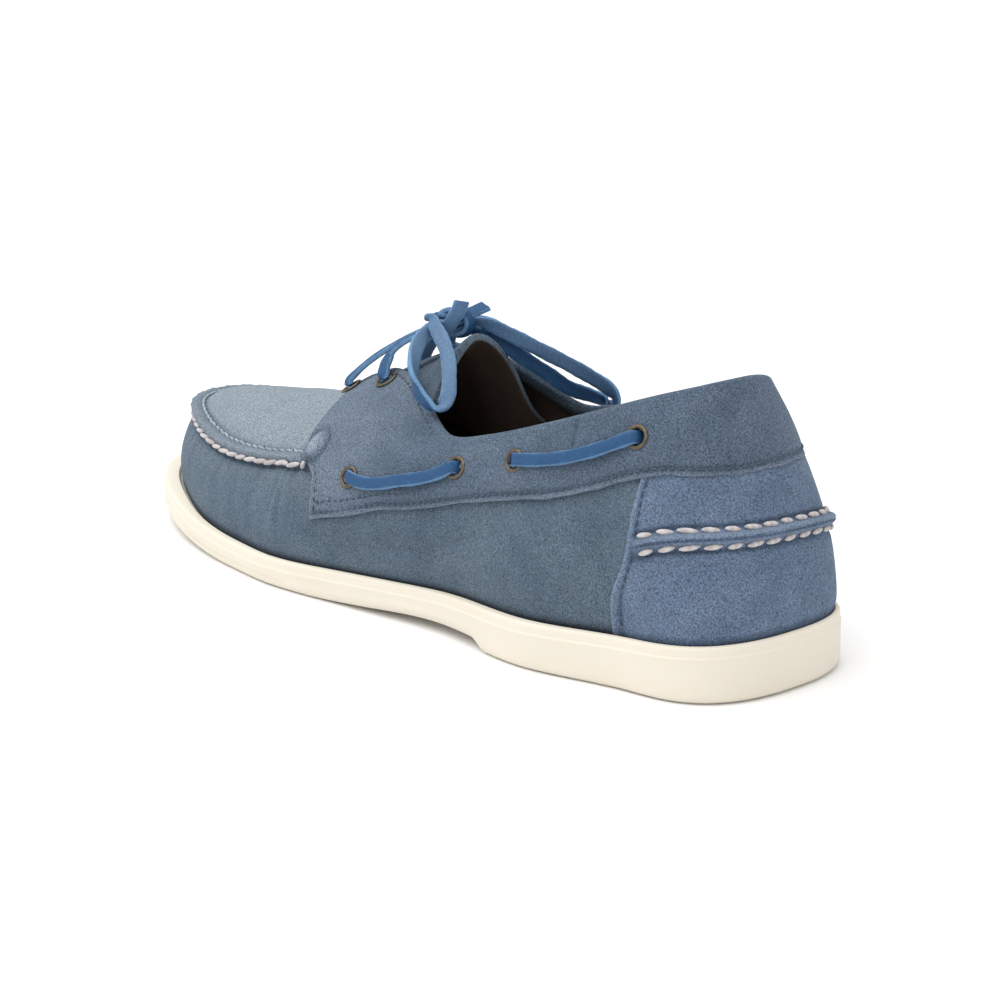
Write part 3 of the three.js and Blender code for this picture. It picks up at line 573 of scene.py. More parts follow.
def crease_relief(u, v, points):
    total = np.zeros(u.shape)
    for side, at, height, length, width, depth, lean in CREASES:
        here = float(ring_at(at)) if side < 0 else 1 - float(ring_at(at))
        centre = on_last(here, height)
        along = bare_last(here + 2e-3 * -side, height) - centre
        rise = bare_last(here, height + 0.01) - centre
        along, rise = along / np.linalg.norm(along), rise / np.linalg.norm(rise)
        turn = math.radians(lean)
        run = along * math.cos(turn) + rise * math.sin(turn)
        normal = last_normal(here, height)
        cross = np.cross(normal, run)
        away = points - centre
        x, y, z = away @ run, away @ cross, away @ normal
        y = y + 0.012 * x * x / max(length, 1) * 8
        fade = bump_at(x, length / 2) * bump_at(z, 14.0)
        total += fade * depth * (-bump_at(y, width / 2) + 0.55 * bump_at(y - width * 0.9, width / 1.6))
    return total


LUMP_AT, LUMP_ABOVE_SEAM, LUMP_LONG, LUMP_HIGH = 0.609, 5.0, 3.2, 4.2


def lump_reach(s, off):
    """0 in the middle of the lump where the roll ends under the saddle, 1 at its rim."""
    return np.hypot((s - LUMP_AT) * LENGTH / LUMP_LONG, (off - LUMP_ABOVE_SEAM) / LUMP_HIGH)


def suede_relief(u, v, points):
    s = station(u)
    high = np.clip(smooth_read(SEAM, 2, s), 0, None) * soft_step((s - 0.594) / 0.012)
    off = (v - seam_up(s)) * climb(u, np.clip(v, 0.02, 0.97))
    along = along_seam(u)
    beat = 2 * np.pi * along / STITCH_PITCH
    wander = 0.35 * np.sin(along * 0.83) + 0.25 * np.sin(along * 1.57 + 1)
    # The roll stands steep on the side that faces down and falls softly to the apron.
    roll = np.where(off < 0, np.exp(-(np.abs(off) / 1.5) ** 2.6), np.exp(-(np.abs(off) / 2.7) ** 2.2))
    calm = 1 - 0.6 * soft_step((s - 0.84) / 0.12)
    pucker = (0.30 * calm * np.cos(beat + wander) + 0.12 * np.sin(2.3 * beat)) * bump_at(off + 0.4, 2.2)
    gather = 0.28 * np.cos(beat + wander) * bump_at(off + 5.0, 3.4)
    trough = -0.55 * bump_at(off + 3.0, 0.9) - 0.50 * bump_at(off - 3.5, 0.9)
    present = high / 2.8
    apron_rise = 0.5 * bump_at(off - 10, 5.0)
    front = soft_step((s - 0.84) / 0.12)
    relief = (high * (1 + 0.35 * front) * roll - 1.0 * front * soft_step((off - 4) / 12)
              + present * (pucker + gather + trough + apron_rise))
    reach = lump_reach(s, off)
    lump = 1.6 * np.exp(-reach ** 3) - 0.6 * bump_at(reach - 1.40, 0.20)
    slow = 0.16 * np.sin(points[..., 1] * 0.19 + points[..., 2] * 0.13) \
        * np.sin(points[..., 2] * 0.17 - points[..., 1] * 0.07)
    low_fade = soft_step(v / 0.12)
    return relief + lump + (crease_relief(u, v, points) + slow) * low_fade


print("creases placed:", len(CREASES))

# %% [markdown]
# The upper is the gathered side and the apron in one stretched sheet. Its columns are close
# together round the toe, where every pucker needs a few of them, and its rows are close together
# at the roll. Solidify gives 2 mm of suede and lining; its inner shell takes the lining leather.

# %% The upper
def columns_between(stops, counts):
    half = np.concatenate([np.linspace(float(ring_at(a)), float(ring_at(b)), n, endpoint=False)
                           for a, b, n in zip(stops[:-1], stops[1:], counts)])
    half = np.append(half, float(ring_at(stops[-1])))
    return half


half = columns_between([0, 0.60, SPINE, 1.0], [112, 22, 104])
upper_u = np.concatenate([half, 1 - half[-2::-1]])
share = np.concatenate([np.linspace(0, 1, 20, endpoint=False), np.linspace(1, 2, 20, endpoint=False),
                        np.linspace(2, 3, 21)])
seam_v = seam_up(station(upper_u))[:, None]
below, inside, above = np.clip(share, 0, 1), np.clip(share - 1, 0, 1), np.clip(share - 2, 0, 1)
upper_v = below * (seam_v - 0.065) + inside * 0.13 + above * (1 - seam_v - 0.065)
U = np.broadcast_to(upper_u[:, None], upper_v.shape)
lift = suede_relief(U, upper_v, bare_last(U, upper_v))
open_edge = np.where((station(U) >= SPINE) & (upper_v > 0.93), soft_step((1 - upper_v) / 0.07), 1.0)
upper_points = on_last(U, upper_v, lift * open_edge)


def punch(points, spots, radius):
    """Faces to drop where an eyelet goes through: true for corners inside the punched hole."""
    inside_hole = np.zeros(points.shape[0], bool)
    for spot in spots:
        inside_hole |= np.linalg.norm(points - spot, axis=1) < radius
    return inside_hole


EYELETS = [  # at, share of the way up
    (0.536, 0.467), (0.392, 0.813), (0.291, 0.838), (0.086, 0.832), (0.579, 0.897), (0.638, 0.868)]
eyelet_u = np.array([[float(ring_at(a)), 1 - float(ring_at(a))] for a, _ in EYELETS])
eyelet_v = np.array([[b, b] for _, b in EYELETS])
eyelet_normal = last_normal(eyelet_u, eyelet_v)
BAND_OUT = 1.75
eyelet_spot = on_last(eyelet_u, eyelet_v, BAND_OUT)


def drop_faces(piece, doomed):
    pick(piece)
    piece.data.vertices.foreach_set("select", doomed)
    edge = np.empty(len(piece.data.edges) * 2, int)
    piece.data.edges.foreach_get("vertices", edge)
    piece.data.edges.foreach_set("select", doomed[edge.reshape(-1, 2)].all(1))
    faces = [all(doomed[i] for i in p.vertices) for p in piece.data.polygons]
    piece.data.polygons.foreach_set("select", faces)
    bpy.ops.object.mode_set(mode="EDIT")
    bpy.ops.mesh.select_mode(type="FACE")
    bpy.ops.mesh.delete(type="FACE")
    bpy.ops.mesh.select_mode(type="VERT")
    bpy.ops.object.mode_set(mode="OBJECT")


def shade_of(piece, rule):
    """Looks each corner's (u, v) up again from stored maps and writes the shade attribute of painted light
    and shade.
    """
    write_attribute(piece, "shade", rule(corners(piece)))


upper = sheet_on("upper_suede", upper_points, ring=True)
drop_faces(upper, punch(corners(upper), eyelet_spot.reshape(-1, 3), 3.6))
print("upper:", len(upper.data.polygons), "faces before its wall")

# %% Painted light and shade of the upper
from mathutils.kdtree import KDTree


def shade_from(points, values):
    tree = KDTree(len(points))
    for index, point in enumerate(points):
        tree.insert(point, index)
    tree.balance()
    return lambda co: np.array([values[tree.find(c)[1]] for c in co])


off_seam = (upper_v - seam_v) * climb(U, np.clip(upper_v, 0.02, 0.97))
present = np.clip(smooth_read(SEAM, 2, station(U)), 0, None) / 2.8
end_reach = lump_reach(station(U), off_seam)
saddle_front = np.interp(upper_v, [b for a, b in SADDLE_FRONT], [a for a, b in SADDLE_FRONT])
before_saddle = (station(U) - saddle_front) * LENGTH
# Painted highlight on the moccasin roll and painted shade in the grooves on both sides of it.
upper_shade = present * (0.26 * bump_at(off_seam - 0.6, 2.2) - 0.45 * bump_at(off_seam + 2.8, 0.9)
                         - 0.22 * bump_at(off_seam - 3.2, 0.7))
# Painted shade in the groove round the lump and in the groove in front of the saddle's edge.
upper_shade -= (0.5 * bump_at(end_reach - 1.3, 0.2)
                + 0.55 * bump_at(before_saddle - 1.0, 0.9) * (upper_v > 0.58))
# Painted highlight on the apron, the top of the toe that faces the light.
upper_shade += 0.42 * soft_step((off_seam - 2.6) / 3) * soft_step((station(U) - 0.6) / 0.05)
# Painted shade along the foot of the upper, darkest in the gap where it meets the sole.
upper_shade -= 0.25 * soft_step((0.07 - upper_v) / 0.07) + 0.60 * soft_step((0.050 - upper_v) / 0.020)
# Painted light: the upper is lighter towards the front and the top, where the light falls.
upper_shade += 0.08 * soft_step((upper_v - 0.2) / 0.2) * soft_step((station(U) - 0.5) / 0.1)
# Painted light and shade from the relief: raised suede lighter, sunken creases darker.
upper_shade += 0.10 * np.clip(lift * open_edge, -0.8, 0.6) * (1 - present)
upper.data.materials.append(suede)
upper.data.materials.append(lining_leather)
finish_modifier(upper, "SOLIDIFY", thickness=2.0 * MM, offset=-1.0, material_offset=1,
                material_offset_rim=0, use_even_offset=False)
shade_of(upper, shade_from(upper_points.reshape(-1, 3) * 1.0, upper_shade.ravel()))
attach(upper, "root")
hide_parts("upper")
print("upper:", len(upper.data.polygons), "faces with its wall")

# %% [markdown]
# The saddle is the band of suede that holds the lace. It starts at the throat, widens to carry the
# eyelets and runs round the heel as the collar. Its lower edge is left raw, and its top is turned
# over the edge of the upper and glued down inside, which gives the soft round rim of the collar.

# %% The saddle and collar
def band_low(s):
    return np.where(s <= 0.575, smooth_read(SADDLE, 1, s), straight_read(SADDLE_FRONT, 1, s))


band_half = columns_between([0, 0.54, 0.575, 0.60, 0.635, SPINE, 0.688], [118, 12, 14, 30, 12, 12])
band_u = np.concatenate([-band_half[::-1][:-1], band_half])
climb_rows = np.linspace(0, 1, 34)
turn_rows = np.linspace(0, math.pi, 11)[1:]
inner_rows = np.linspace(0, 1, 5)[1:]
s = station(band_u)
on_middle = s >= SPINE - 1e-6
reach = np.where(on_middle, 1.0, 0.985)
low = band_low(s)
wave = 0.0022 * np.sin(band_u * 190) + 0.0016 * np.sin(band_u * 331 + 2)
band_v = low[:, None] + wave[:, None] * (1 - climb_rows) * (low[:, None] < 0.9) \
    + (reach - low)[:, None] * climb_rows
band_U = np.broadcast_to(band_u[:, None], band_v.shape)
S = station(band_U)
from_edge = (band_v - low[:, None]) * climb(band_U, np.clip(band_v, 0.02, 0.97))
puff = 0.30 * soft_step(from_edge / 6) + 0.25 * np.sin(np.pi * climb_rows) * (S < 0.5)
lip = -0.22 * bump_at(from_edge - 2.2, 0.8)
under = suede_relief(band_U, band_v, bare_last(band_U, band_v))
ripple = 0.14 * np.sin(band_U * 61 + band_v * 9) * np.sin(band_v * 17 + band_U * 25)
press = np.zeros(band_v.shape)
plain_band = bare_last(band_U, band_v)
side_seam = bump_at((S - 0.192) * LENGTH, 0.8) * soft_step((band_v - 0.84) / 0.03)
press -= 0.4 * side_seam
for spot in on_last(eyelet_u, eyelet_v).reshape(-1, 3):
    press -= 0.28 * np.exp(-(np.linalg.norm(plain_band - spot, axis=-1) / 6.0) ** 2)
follow = soft_step((S - 0.578) / 0.010)
out = (1.45 + np.clip(under, -0.5, 0.5) * 0.6 * (1 - follow) + under * follow * (S < 0.66)
       + puff + lip + ripple + press)
side_points = on_last(band_U, band_v, out)
fold = np.clip((SPINE - s) / 0.03, 0, 1)
fold = np.sqrt(fold)
edge_point = on_last(band_u, reach, out[:, -1])
tangent = on_last(band_u, np.where(on_middle, 1.0, 0.985)) - on_last(band_u, 0.955)
tangent /= np.linalg.norm(tangent, axis=1, keepdims=True)
normal = last_normal(band_u, 0.97)
radius = 2.05
fold_each = fold[:, None, None]
turned = (edge_point[:, None]
          - normal[:, None] * (radius * (1 - np.cos(turn_rows)))[None, :, None] * fold_each
          + tangent[:, None] * (1.7 * np.sin(turn_rows))[None, :, None] * fold_each)
down = on_last(band_u[:, None], 0.985 - 0.06 * inner_rows[None] * fold[:, None], -2.55)
down = np.where(on_middle[:, None, None], edge_point[:, None],
                down * fold_each + turned[:, -1:] * (1 - fold_each))
band_points = np.concatenate([side_points, turned, down], axis=1)
band = sheet_on("saddle_collar_suede", band_points, ring=True)
drop_faces(band, punch(corners(band), eyelet_spot.reshape(-1, 3), 3.3))
# Painted highlight on the rolled lower edge, painted shade in the groove behind it and in the dent of the
# side seam.
band_shade = 0.34 * bump_at(from_edge, 0.8) - 0.30 * bump_at(from_edge - 2.2, 0.7) - 0.35 * side_seam
# Painted light and shade following the ripple of the band.
band_shade += 0.06 * ripple / 0.14
# Painted light: the saddle is lighter towards the front than the collar behind, as the light falls from the
# front.
band_shade += 0.18 * soft_step((S - 0.45) / 0.1)
band_off = (band_v - seam_up(S)) * climb(band_U, np.clip(band_v, 0.02, 0.97))
band_reach = lump_reach(S, band_off)
# Painted highlight on the lump where the roll ends under the saddle, painted shade in the groove round it.
band_shade += 0.55 * np.exp(-band_reach ** 3) - 0.30 * bump_at(band_reach - 1.40, 0.20)
tail = np.zeros(band_points.shape[:2])
tail[:, :band_v.shape[1]] = band_shade
tail[:, band_v.shape[1] + 4:] = -0.55
finish_modifier(band, "SOLIDIFY", thickness=1.25 * MM, offset=-1.0, use_even_offset=False)
band.data.materials.append(overlay_suede)
shade_of(band, shade_from(band_points.reshape(-1, 3), tail.ravel()))
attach(band, "root")
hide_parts("saddle_collar")
print("saddle and collar:", len(band.data.polygons), "faces")

# %% [markdown]
# The heel counter is a stiffened panel wrapped round the heel. Half way up it is pinched into a
# sharp fold and sewn through with thick thread, a detail that the moccasin seam shares.

# %% The heel counter
RIDGE = [  # distance round the heel as a share of the counter's half width, share of the way up
    (-1.0, 0.370), (-0.55, 0.382), (-0.25, 0.400), (0.34, 0.422), (0.6, 0.431), (0.78, 0.428), (1.0, 0.404)]
COUNTER_TOP = 0.690


def counter_at(side, v):
    """u and the ridge's share of the way up, for side from -1 (inner) to 1 (outer)."""
    front = smooth_read(COUNTER, 1, v)
    return ring_at(front) * side, smooth_read(RIDGE, 1, side)


side = np.linspace(-1, 1, 151)[:, None]
rise = np.concatenate([
    np.linspace(0.0, 0.36, 18, endpoint=False), np.linspace(0.36, 0.52, 30, endpoint=False),
    np.linspace(0.52, COUNTER_TOP - 0.006, 14)])[None]
counter_u, ridge_v = counter_at(side, rise)
counter_v = rise + 0 * side
off = (counter_v - ridge_v) * climb(counter_u, np.clip(counter_v, 0.02, 0.97))
end = np.abs(side) * np.ones_like(counter_v)
pinch = soft_step((1 - end) / 0.10)
ridge_beat = 0.22 * np.cos(side * 33.0) + 0.12 * np.sin(side * 71.0)
fold_shape = np.exp(-(np.abs(off) / 1.75) ** 2.8)
crest = -0.35 * bump_at(off + 0.3, 0.35)
dent = -0.40 * bump_at(np.abs(off) - 3.0, 0.9)
below_top = (COUNTER_TOP - counter_v) * climb(counter_u, np.clip(counter_v, 0.02, 0.97))
edge_off = np.minimum((1 - end) * 42, below_top)
rim_lip = -0.25 * bump_at(edge_off - 2.0, 0.7)
swell = 0.25 * np.sin(counter_v * 19 + side * 4) * np.sin(side * 7 + 1) * soft_step(counter_v / 0.15)
counter_out = (1.15 + pinch * (2.9 * fold_shape * (1 + 0.1 * ridge_beat) + crest + dent) + rim_lip
               + 0.6 * swell - 0.55 * soft_step((0.07 - counter_v) / 0.07))
counter_points = on_last(counter_u, counter_v, counter_out)
counter = sheet_on("heel_counter_suede", counter_points)
# Painted highlight on the fold of the heel counter, painted shade in the groove under it and in the dents
# on both sides.
fold_shade = (0.20 * fold_shape - 0.75 * bump_at(off + 0.5, 0.35)
              - 0.40 * bump_at(np.abs(off) - 3.5, 0.7))
# The counter's own paler tone (0.10), with a painted highlight on its edge and swells and painted shade in
# the groove behind the lip.
counter_shade = 0.10 + (pinch * fold_shade + 0.18 * bump_at(edge_off, 0.8)
                        - 0.25 * bump_at(edge_off - 2.0, 0.6) + 0.14 * swell)
# Painted shade along the foot of the counter, where it meets the sole.
counter_shade = counter_shade - 0.60 * soft_step((0.050 - counter_v) / 0.020)
finish_modifier(counter, "SOLIDIFY", thickness=1.0 * MM, offset=-1.0, use_even_offset=False)
counter.data.materials.append(counter_suede)
shade_of(counter, shade_from(counter_points.reshape(-1, 3), counter_shade.ravel()))
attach(counter, "root")
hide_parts("heel_counter")
print("heel counter:", len(counter.data.polygons), "faces")

# %% [markdown]
# The sole is one moulding of rubber. Its side is a strip that follows the outline, with a faint
# line near the top, and its underside has a heel and a forefoot that stand on the floor and a
# raised waist. Fine wavy cuts in both treads open when the sole bends and grip a wet deck.

# %% The outsole
HEEL_BREAST, TREAD_START, SPRING_START, TOE_SPRING, BREAST = 86.0, 170.0, 205.0, 7.5, 2.9


def sole_underside(y):
    start = y + LENGTH / 2
    spring = np.maximum(start - SPRING_START, 0) / (LENGTH - SPRING_START)
    waist = soft_step((start - HEEL_BREAST) / 8) * (1 - soft_step((start - 112) / (TREAD_START - 112)))
    return TOE_SPRING * spring**2 + BREAST * waist


sole_u = np.linspace(0, 1, 721)
outline, inward, sole_s = sole_outline(sole_u), -outline_normal(sole_u), station(sole_u)
rim = smooth_read(RIM, 1, sole_s)
foot = smooth_read(PROFILE, 1, sole_s)
ground = sole_underside(outline[:, 1])
side_rows = [  # how far in, height above the ground or below the rim (negative)
    (2.6, 0.0), (2.0, 0.25), (1.15, 0.65), (0.5, 1.3), (0.15, 2.2), (0.0, 3.4), (0.10, -6.6),
    (0.10, -4.4), (0.02, -3.75), (0.06, -3.45), (0.20, -3.25), (0.34, -3.1), (0.40, -2.8), (0.40, -1.0),
    (0.55, -0.5), (0.9, -0.15), (1.5, 0.0)]
rows = []
for inset, height in side_rows:
    z = ground + height if height >= 0 and inset < 2.61 and height != 0.0 or inset == 2.6 else rim + height
    xy = outline + inward * inset
    rows.append(np.column_stack([xy, z]))
for inset, drop in ((-1.3, 0.0), (-0.9, -0.4), (-0.6, -1.1), (0.2, -BED_DROP), (6.0, -BED_DROP)):
    xy = outline + inward * (foot + inset)[:, None]
    rows.append(np.column_stack([xy, rim + drop]))
side_strip = np.stack(rows, axis=1)


def across(ring, count, height=None):
    """A grid from one side of a closed ring to the other, one column per place along the shoe."""
    n = len(ring) // 2
    left, right_side = ring[:n + 1], ring[::-1][:n + 1]
    k = np.linspace(0, 1, count)[None, :, None]
    grid = left[:, None] * (1 - k) + right_side[:, None] * k
    if height is not None:
        grid[..., 2] = height(grid)
    return grid


def tread(grid):
    y, x = grid[..., 1], grid[..., 0]
    ring_gap = np.minimum(np.abs(x - grid[:, :1, 0]), np.abs(x - grid[:, -1:, 0]))
    zone = (soft_step((y + 140) / 3) * soft_step((-66 - y) / 3)
            + soft_step((y - 24) / 3) * soft_step((128 - y) / 3))
    zone = zone * soft_step((ring_gap - 7) / 1.5)
    wave = 1.7 * np.sin(x * 2 * np.pi / 11.0)
    cut = np.abs(np.mod((y + wave) / 5.2, 1.0) - 0.5) * 5.2
    return sole_underside(y) + 0.9 * zone * (1 - soft_step(cut / 0.75))


bottom = across(side_strip[:, 0], 72, tread)
bottom[:, 0], bottom[:, -1] = side_strip[:361, 0], side_strip[::-1, 0][:361]
bed = across(side_strip[:, -1], 8)
sole_side = sheet_on("outsole_rubber", side_strip, ring=True)
sole_bottom = sheet_on("outsole_bottom", bottom)
sole_bed = sheet_on("outsole_bed", bed)
pick(sole_bed)
bpy.ops.object.mode_set(mode="EDIT")
bpy.ops.mesh.select_all(action="SELECT")
bpy.ops.mesh.flip_normals()
bpy.ops.object.mode_set(mode="OBJECT")
deselect()
for piece in (sole_bottom, sole_bed, sole_side):
    piece.select_set(True)
bpy.context.view_layer.objects.active = sole_side
bpy.ops.object.join()
outsole = bpy.context.object
bpy.ops.object.mode_set(mode="EDIT")
bpy.ops.mesh.select_all(action="SELECT")
bpy.ops.mesh.remove_doubles(threshold=2e-5)
bpy.ops.mesh.dissolve_degenerate(threshold=1e-6)
bpy.ops.mesh.normals_make_consistent(inside=False)
bpy.ops.object.mode_set(mode="OBJECT")
bpy.ops.object.shade_smooth_by_angle(angle=math.radians(40))
outsole.data.materials.append(sole_rubber)
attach(outsole, "root")
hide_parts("outsole")
print("outsole:", len(outsole.data.polygons), "faces")

# %% [markdown]
# The footbed is a thin board covered with lining leather. A heel pad, a second layer that stops
# before the waist, is stuck on top of it, and the whole bed is slightly dished by its foam.

# %% The footbed
bed_u = np.linspace(0, 1, 321)
bed_outline, bed_inward, bed_s = sole_outline(bed_u), -outline_normal(bed_u), station(bed_u)
bed_rim, bed_foot = smooth_read(RIM, 1, bed_s), smooth_read(PROFILE, 1, bed_s) + 2.6
bed_rows = [(0.0, GAP), (0.0, 1.7), (0.25, 2.4), (0.8, 2.85), (1.6, 3.05), (3.0, 3.1)]
strip = np.stack([
    np.column_stack([bed_outline + bed_inward * (bed_foot + a)[:, None], bed_rim - BED_DROP + b])
    for a, b in bed_rows], axis=1)


def dished(grid):
    z = grid[..., 2]
    k = np.linspace(-1, 1, grid.shape[1])[None]
    pad = 0.55 * soft_step((-46 - grid[..., 1] - 5 * k * k) / 1.2) * soft_step((1 - np.abs(k)) / 0.06)
    return z - 0.5 * (1 - k * k) + pad


top = across(strip[:, -1], 40, dished)
top[:, 0], top[:, -1] = strip[:161, -1], strip[::-1, -1][:161]
under_side = across(strip[:, 0], 6)
bed_strip = sheet_on("footbed", strip, ring=True)
bed_top = sheet_on("footbed_top", top)
bed_under = sheet_on("footbed_under", under_side)
deselect()
for piece in (bed_top, bed_under, bed_strip):
    piece.select_set(True)
bpy.context.view_layer.objects.active = bed_strip
bpy.ops.object.join()
footbed = bpy.context.object
bpy.ops.object.mode_set(mode="EDIT")
bpy.ops.mesh.select_all(action="SELECT")
bpy.ops.mesh.remove_doubles(threshold=2e-5)
bpy.ops.mesh.dissolve_degenerate(threshold=1e-6)
bpy.ops.mesh.normals_make_consistent(inside=False)
bpy.ops.object.mode_set(mode="OBJECT")
footbed.data.materials.append(lining_leather)
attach(footbed, "root")
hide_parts("insole")
print("footbed:", len(footbed.data.polygons), "faces")

# %% [markdown]
# The tongue is a single cut of suede with its flesh side out. It is arched over the instep, and its
# free end stands up behind the knot, where its thick soft rim shows round the dark opening.

# %% The tongue
TONGUE = [  # y, centre, curl, half width on the outer and on the inner side
    (-10, 85.0, 0.051, 19.5, 30.0),
    (2, 77.4, 0.060, 20.5, 27.0),
    (10, 72.5, 0.055, 21.5, 23.5),
    (18, 68.5, 0.046, 21.5, 21.5),
    (33, 62.0, 0.032, 21.0, 21.0),
    (42, 57.3, 0.024, 20.0, 20.0),
    (60, 50.8, 0.022, 18.0, 18.0)]


def tongue_point(y, k):
    dx = k * np.where(k < 0, smooth_read(TONGUE, 3, y), smooth_read(TONGUE, 4, y))
    flare = 0.13 * np.clip(dx - 20, 0, None) ** 2 * soft_step((16 - y) / 24)
    z = smooth_read(TONGUE, 1, y) - smooth_read(TONGUE, 2, y) * dx * dx + flare
    ripple = 0.35 * np.sin(y * 0.31 + k * 3.0) * np.sin(k * 5.0 + 1) + 0.25 * np.sin(y * 0.6 - k * 6)
    return np.stack([dx - 1.0, y + 0 * z, z + ripple], -1)


tongue_k, tongue_y = np.meshgrid(np.linspace(-1, 1, 61), np.linspace(60, -10, 71), indexing="ij")
tongue = sheet_on("tongue_suede", tongue_point(tongue_y, tongue_k))
tongue_rim = np.minimum((1 - np.abs(tongue_k)) * 20, tongue_y + 10)
tongue.data.materials.append(suede)
tongue.data.materials.append(lining_leather)
finish_modifier(tongue, "SOLIDIFY", thickness=2.6 * MM, offset=-1.0, material_offset=1,
                material_offset_rim=0, use_even_offset=False)
finish_modifier(tongue, "BEVEL", width=0.35 * MM, segments=2, limit_method="ANGLE",
                angle_limit=math.radians(60))
tongue_shade = 0.06 * bump_at(tongue_rim, 1.2) - 0.04
shade_of(tongue, shade_from(tongue_point(tongue_y, tongue_k).reshape(-1, 3), tongue_shade.ravel()))
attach(tongue, "root")
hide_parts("tongue")
print("tongue:", len(tongue.data.polygons), "faces")

# %% [markdown]
# An eyelet is a thin brass tube with a rolled flange. It is modelled once, as a torus, which has the
# true round section of the roll, and a barrel under it. Each copy is then set into its hole in the
# saddle.

# %% Eyelets
def place_copy(mesh_points, spot, normal, turn=0.0):
    normal = normal / np.linalg.norm(normal)
    helper = np.array([0, 0, 1.0]) if abs(normal[2]) < 0.9 else np.array([0, 1.0, 0])
    a = np.cross(helper, normal)
    a /= np.linalg.norm(a)
    b = np.cross(normal, a)
    a, b = a * math.cos(turn) + b * math.sin(turn), b * math.cos(turn) - a * math.sin(turn)
    return spot + mesh_points[:, :1] * a + mesh_points[:, 1:2] * b + mesh_points[:, 2:3] * normal


deselect()
bpy.ops.mesh.primitive_torus_add(major_radius=3.15 * MM, minor_radius=0.66 * MM, major_segments=40,
                                 minor_segments=14)
ring = bpy.context.object
ring.name = "eyelet"
shape = corners(ring)
radius = np.linalg.norm(shape[:, :2], axis=1)
angle = np.arctan2(shape[:, 1], shape[:, 0])
high = shape[:, 2]
# The lower inner quarter of the roll is pulled down into the barrel that lines the hole.
barrel = (radius < 3.0) & (high < 0.2)
depth = np.where(barrel, -3.2 * np.clip((3.0 - radius) / 0.7, 0, 1), np.clip(high, -0.15, None) * 0.8)
radius = np.where(barrel, np.clip(radius, 2.3, 3.0), radius)
eyelet_shape = np.column_stack([radius * np.cos(angle), radius * np.sin(angle), depth])
ring.data.vertices.foreach_set("co", (eyelet_shape * MM).ravel())
ring.data.update()
bpy.ops.object.shade_smooth()
names = ("front_side", "mid_side", "rear_side", "heel_side", "throat_rear", "throat_front")
eyelets = {}
for row, name in enumerate(names):
    for column_index, side_name in enumerate(("outer", "inner")):
        pick(ring)
        bpy.ops.object.duplicate()
        eyelet = bpy.context.object
        eyelet.name = "eyelet_brass_%s_%s" % (name, side_name)
        spot = on_last(eyelet_u[row, column_index], eyelet_v[row, column_index], BAND_OUT + 0.1)
        placed = place_copy(eyelet_shape, spot, eyelet_normal[row, column_index])
        eyelet.data.vertices.foreach_set("co", (placed * MM).ravel())
        eyelet.data.update()
        eyelet.data.materials.append(brass)
        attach(eyelet, "root")
        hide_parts("eyelet_%s_%s" % (name, side_name))
        eyelets[name, side_name] = (spot, eyelet_normal[row, column_index])
bpy.data.objects.remove(ring)
print("eyelets:", len(eyelets))

# %% [markdown]
# A lace is a strip 4.8 mm wide and 1.9 mm thick. Each visible run follows a smooth curve through a
# few points, and a second curve says which way the strip faces there. Its section is a rounded
# rectangle, swept along the curve. What is hidden inside the collar is left out, except for the
# short turn where a run dives through its eyelet.

# %% The lace
SECTION = [(2.40, 0.25), (2.30, 0.62), (1.95, 0.90), (1.0, 0.95), (0.0, 0.93), (-1.0, 0.95), (-1.95, 0.90),
           (-2.30, 0.62), (-2.40, 0.25), (-2.40, -0.25), (-2.30, -0.62), (-1.95, -0.90), (-1.0, -0.95),
           (0.0, -0.93), (1.0, -0.95), (1.95, -0.90), (2.30, -0.62), (2.40, -0.25)]


def smooth_curve(points, per_mm_count=1.4):
    """Centripetal Catmull-Rom through the points, sampled at even distances."""
    p = np.array(points, float)
    p = np.vstack([2 * p[0] - p[1], p, 2 * p[-1] - p[-2]])
    dense, weight = [], []
    for i in range(1, len(p) - 2):
        a, b, c, d = p[i - 1:i + 3]
        spans = np.linalg.norm(np.diff(p[i - 1:i + 3], axis=0), axis=1)
        t = np.concatenate([[0], np.cumsum(np.sqrt(spans))])
        x = np.linspace(t[1], t[2], 24, endpoint=False)[:, None]
        a1 = (t[1] - x) / t[1] * a + x / t[1] * b
        a2 = (t[2] - x) / (t[2] - t[1]) * b + (x - t[1]) / (t[2] - t[1]) * c
        a3 = (t[3] - x) / (t[3] - t[2]) * c + (x - t[2]) / (t[3] - t[2]) * d
        b1 = (t[2] - x) / t[2] * a1 + x / t[2] * a2
        b2 = (t[3] - x) / (t[3] - t[1]) * a2 + (x - t[1]) / (t[3] - t[1]) * a3
        dense.append((t[2] - x) / (t[2] - t[1]) * b1 + (x - t[1]) / (t[2] - t[1]) * b2)
        weight.append(i - 1 + (x[:, 0] - t[1]) / (t[2] - t[1]))
    dense = np.vstack(dense + [p[-2:-1]])
    weight = np.concatenate(weight + [[len(points) - 1.0]])
    run = np.concatenate([[0], np.cumsum(np.linalg.norm(np.diff(dense, axis=0), axis=1))])
    even = np.linspace(0, run[-1], max(int(run[-1] * per_mm_count), 12))
    path = np.stack([np.interp(even, run, dense[:, k]) for k in range(3)], -1)
    return path, np.interp(even, run, weight), run[-1]


def strip_frames(points, facings):
    path, where, length = smooth_curve(points)
    facing = np.stack([np.interp(where, np.arange(len(facings)), np.array(facings, float)[:, k])
                       for k in range(3)], -1)
    kernel = np.hanning(9) / np.hanning(9).sum()
    padded_facing = np.pad(facing, ((4, 4), (0, 0)), mode="edge")
    facing = np.stack([np.convolve(padded_facing[:, k], kernel, "valid") for k in range(3)], -1)
    along = np.gradient(path, axis=0)
    along /= np.linalg.norm(along, axis=1, keepdims=True)
    cross = np.cross(along, facing)
    cross /= np.linalg.norm(cross, axis=1, keepdims=True)
    out_way = np.cross(cross, along)
    return path, along, cross, out_way, length


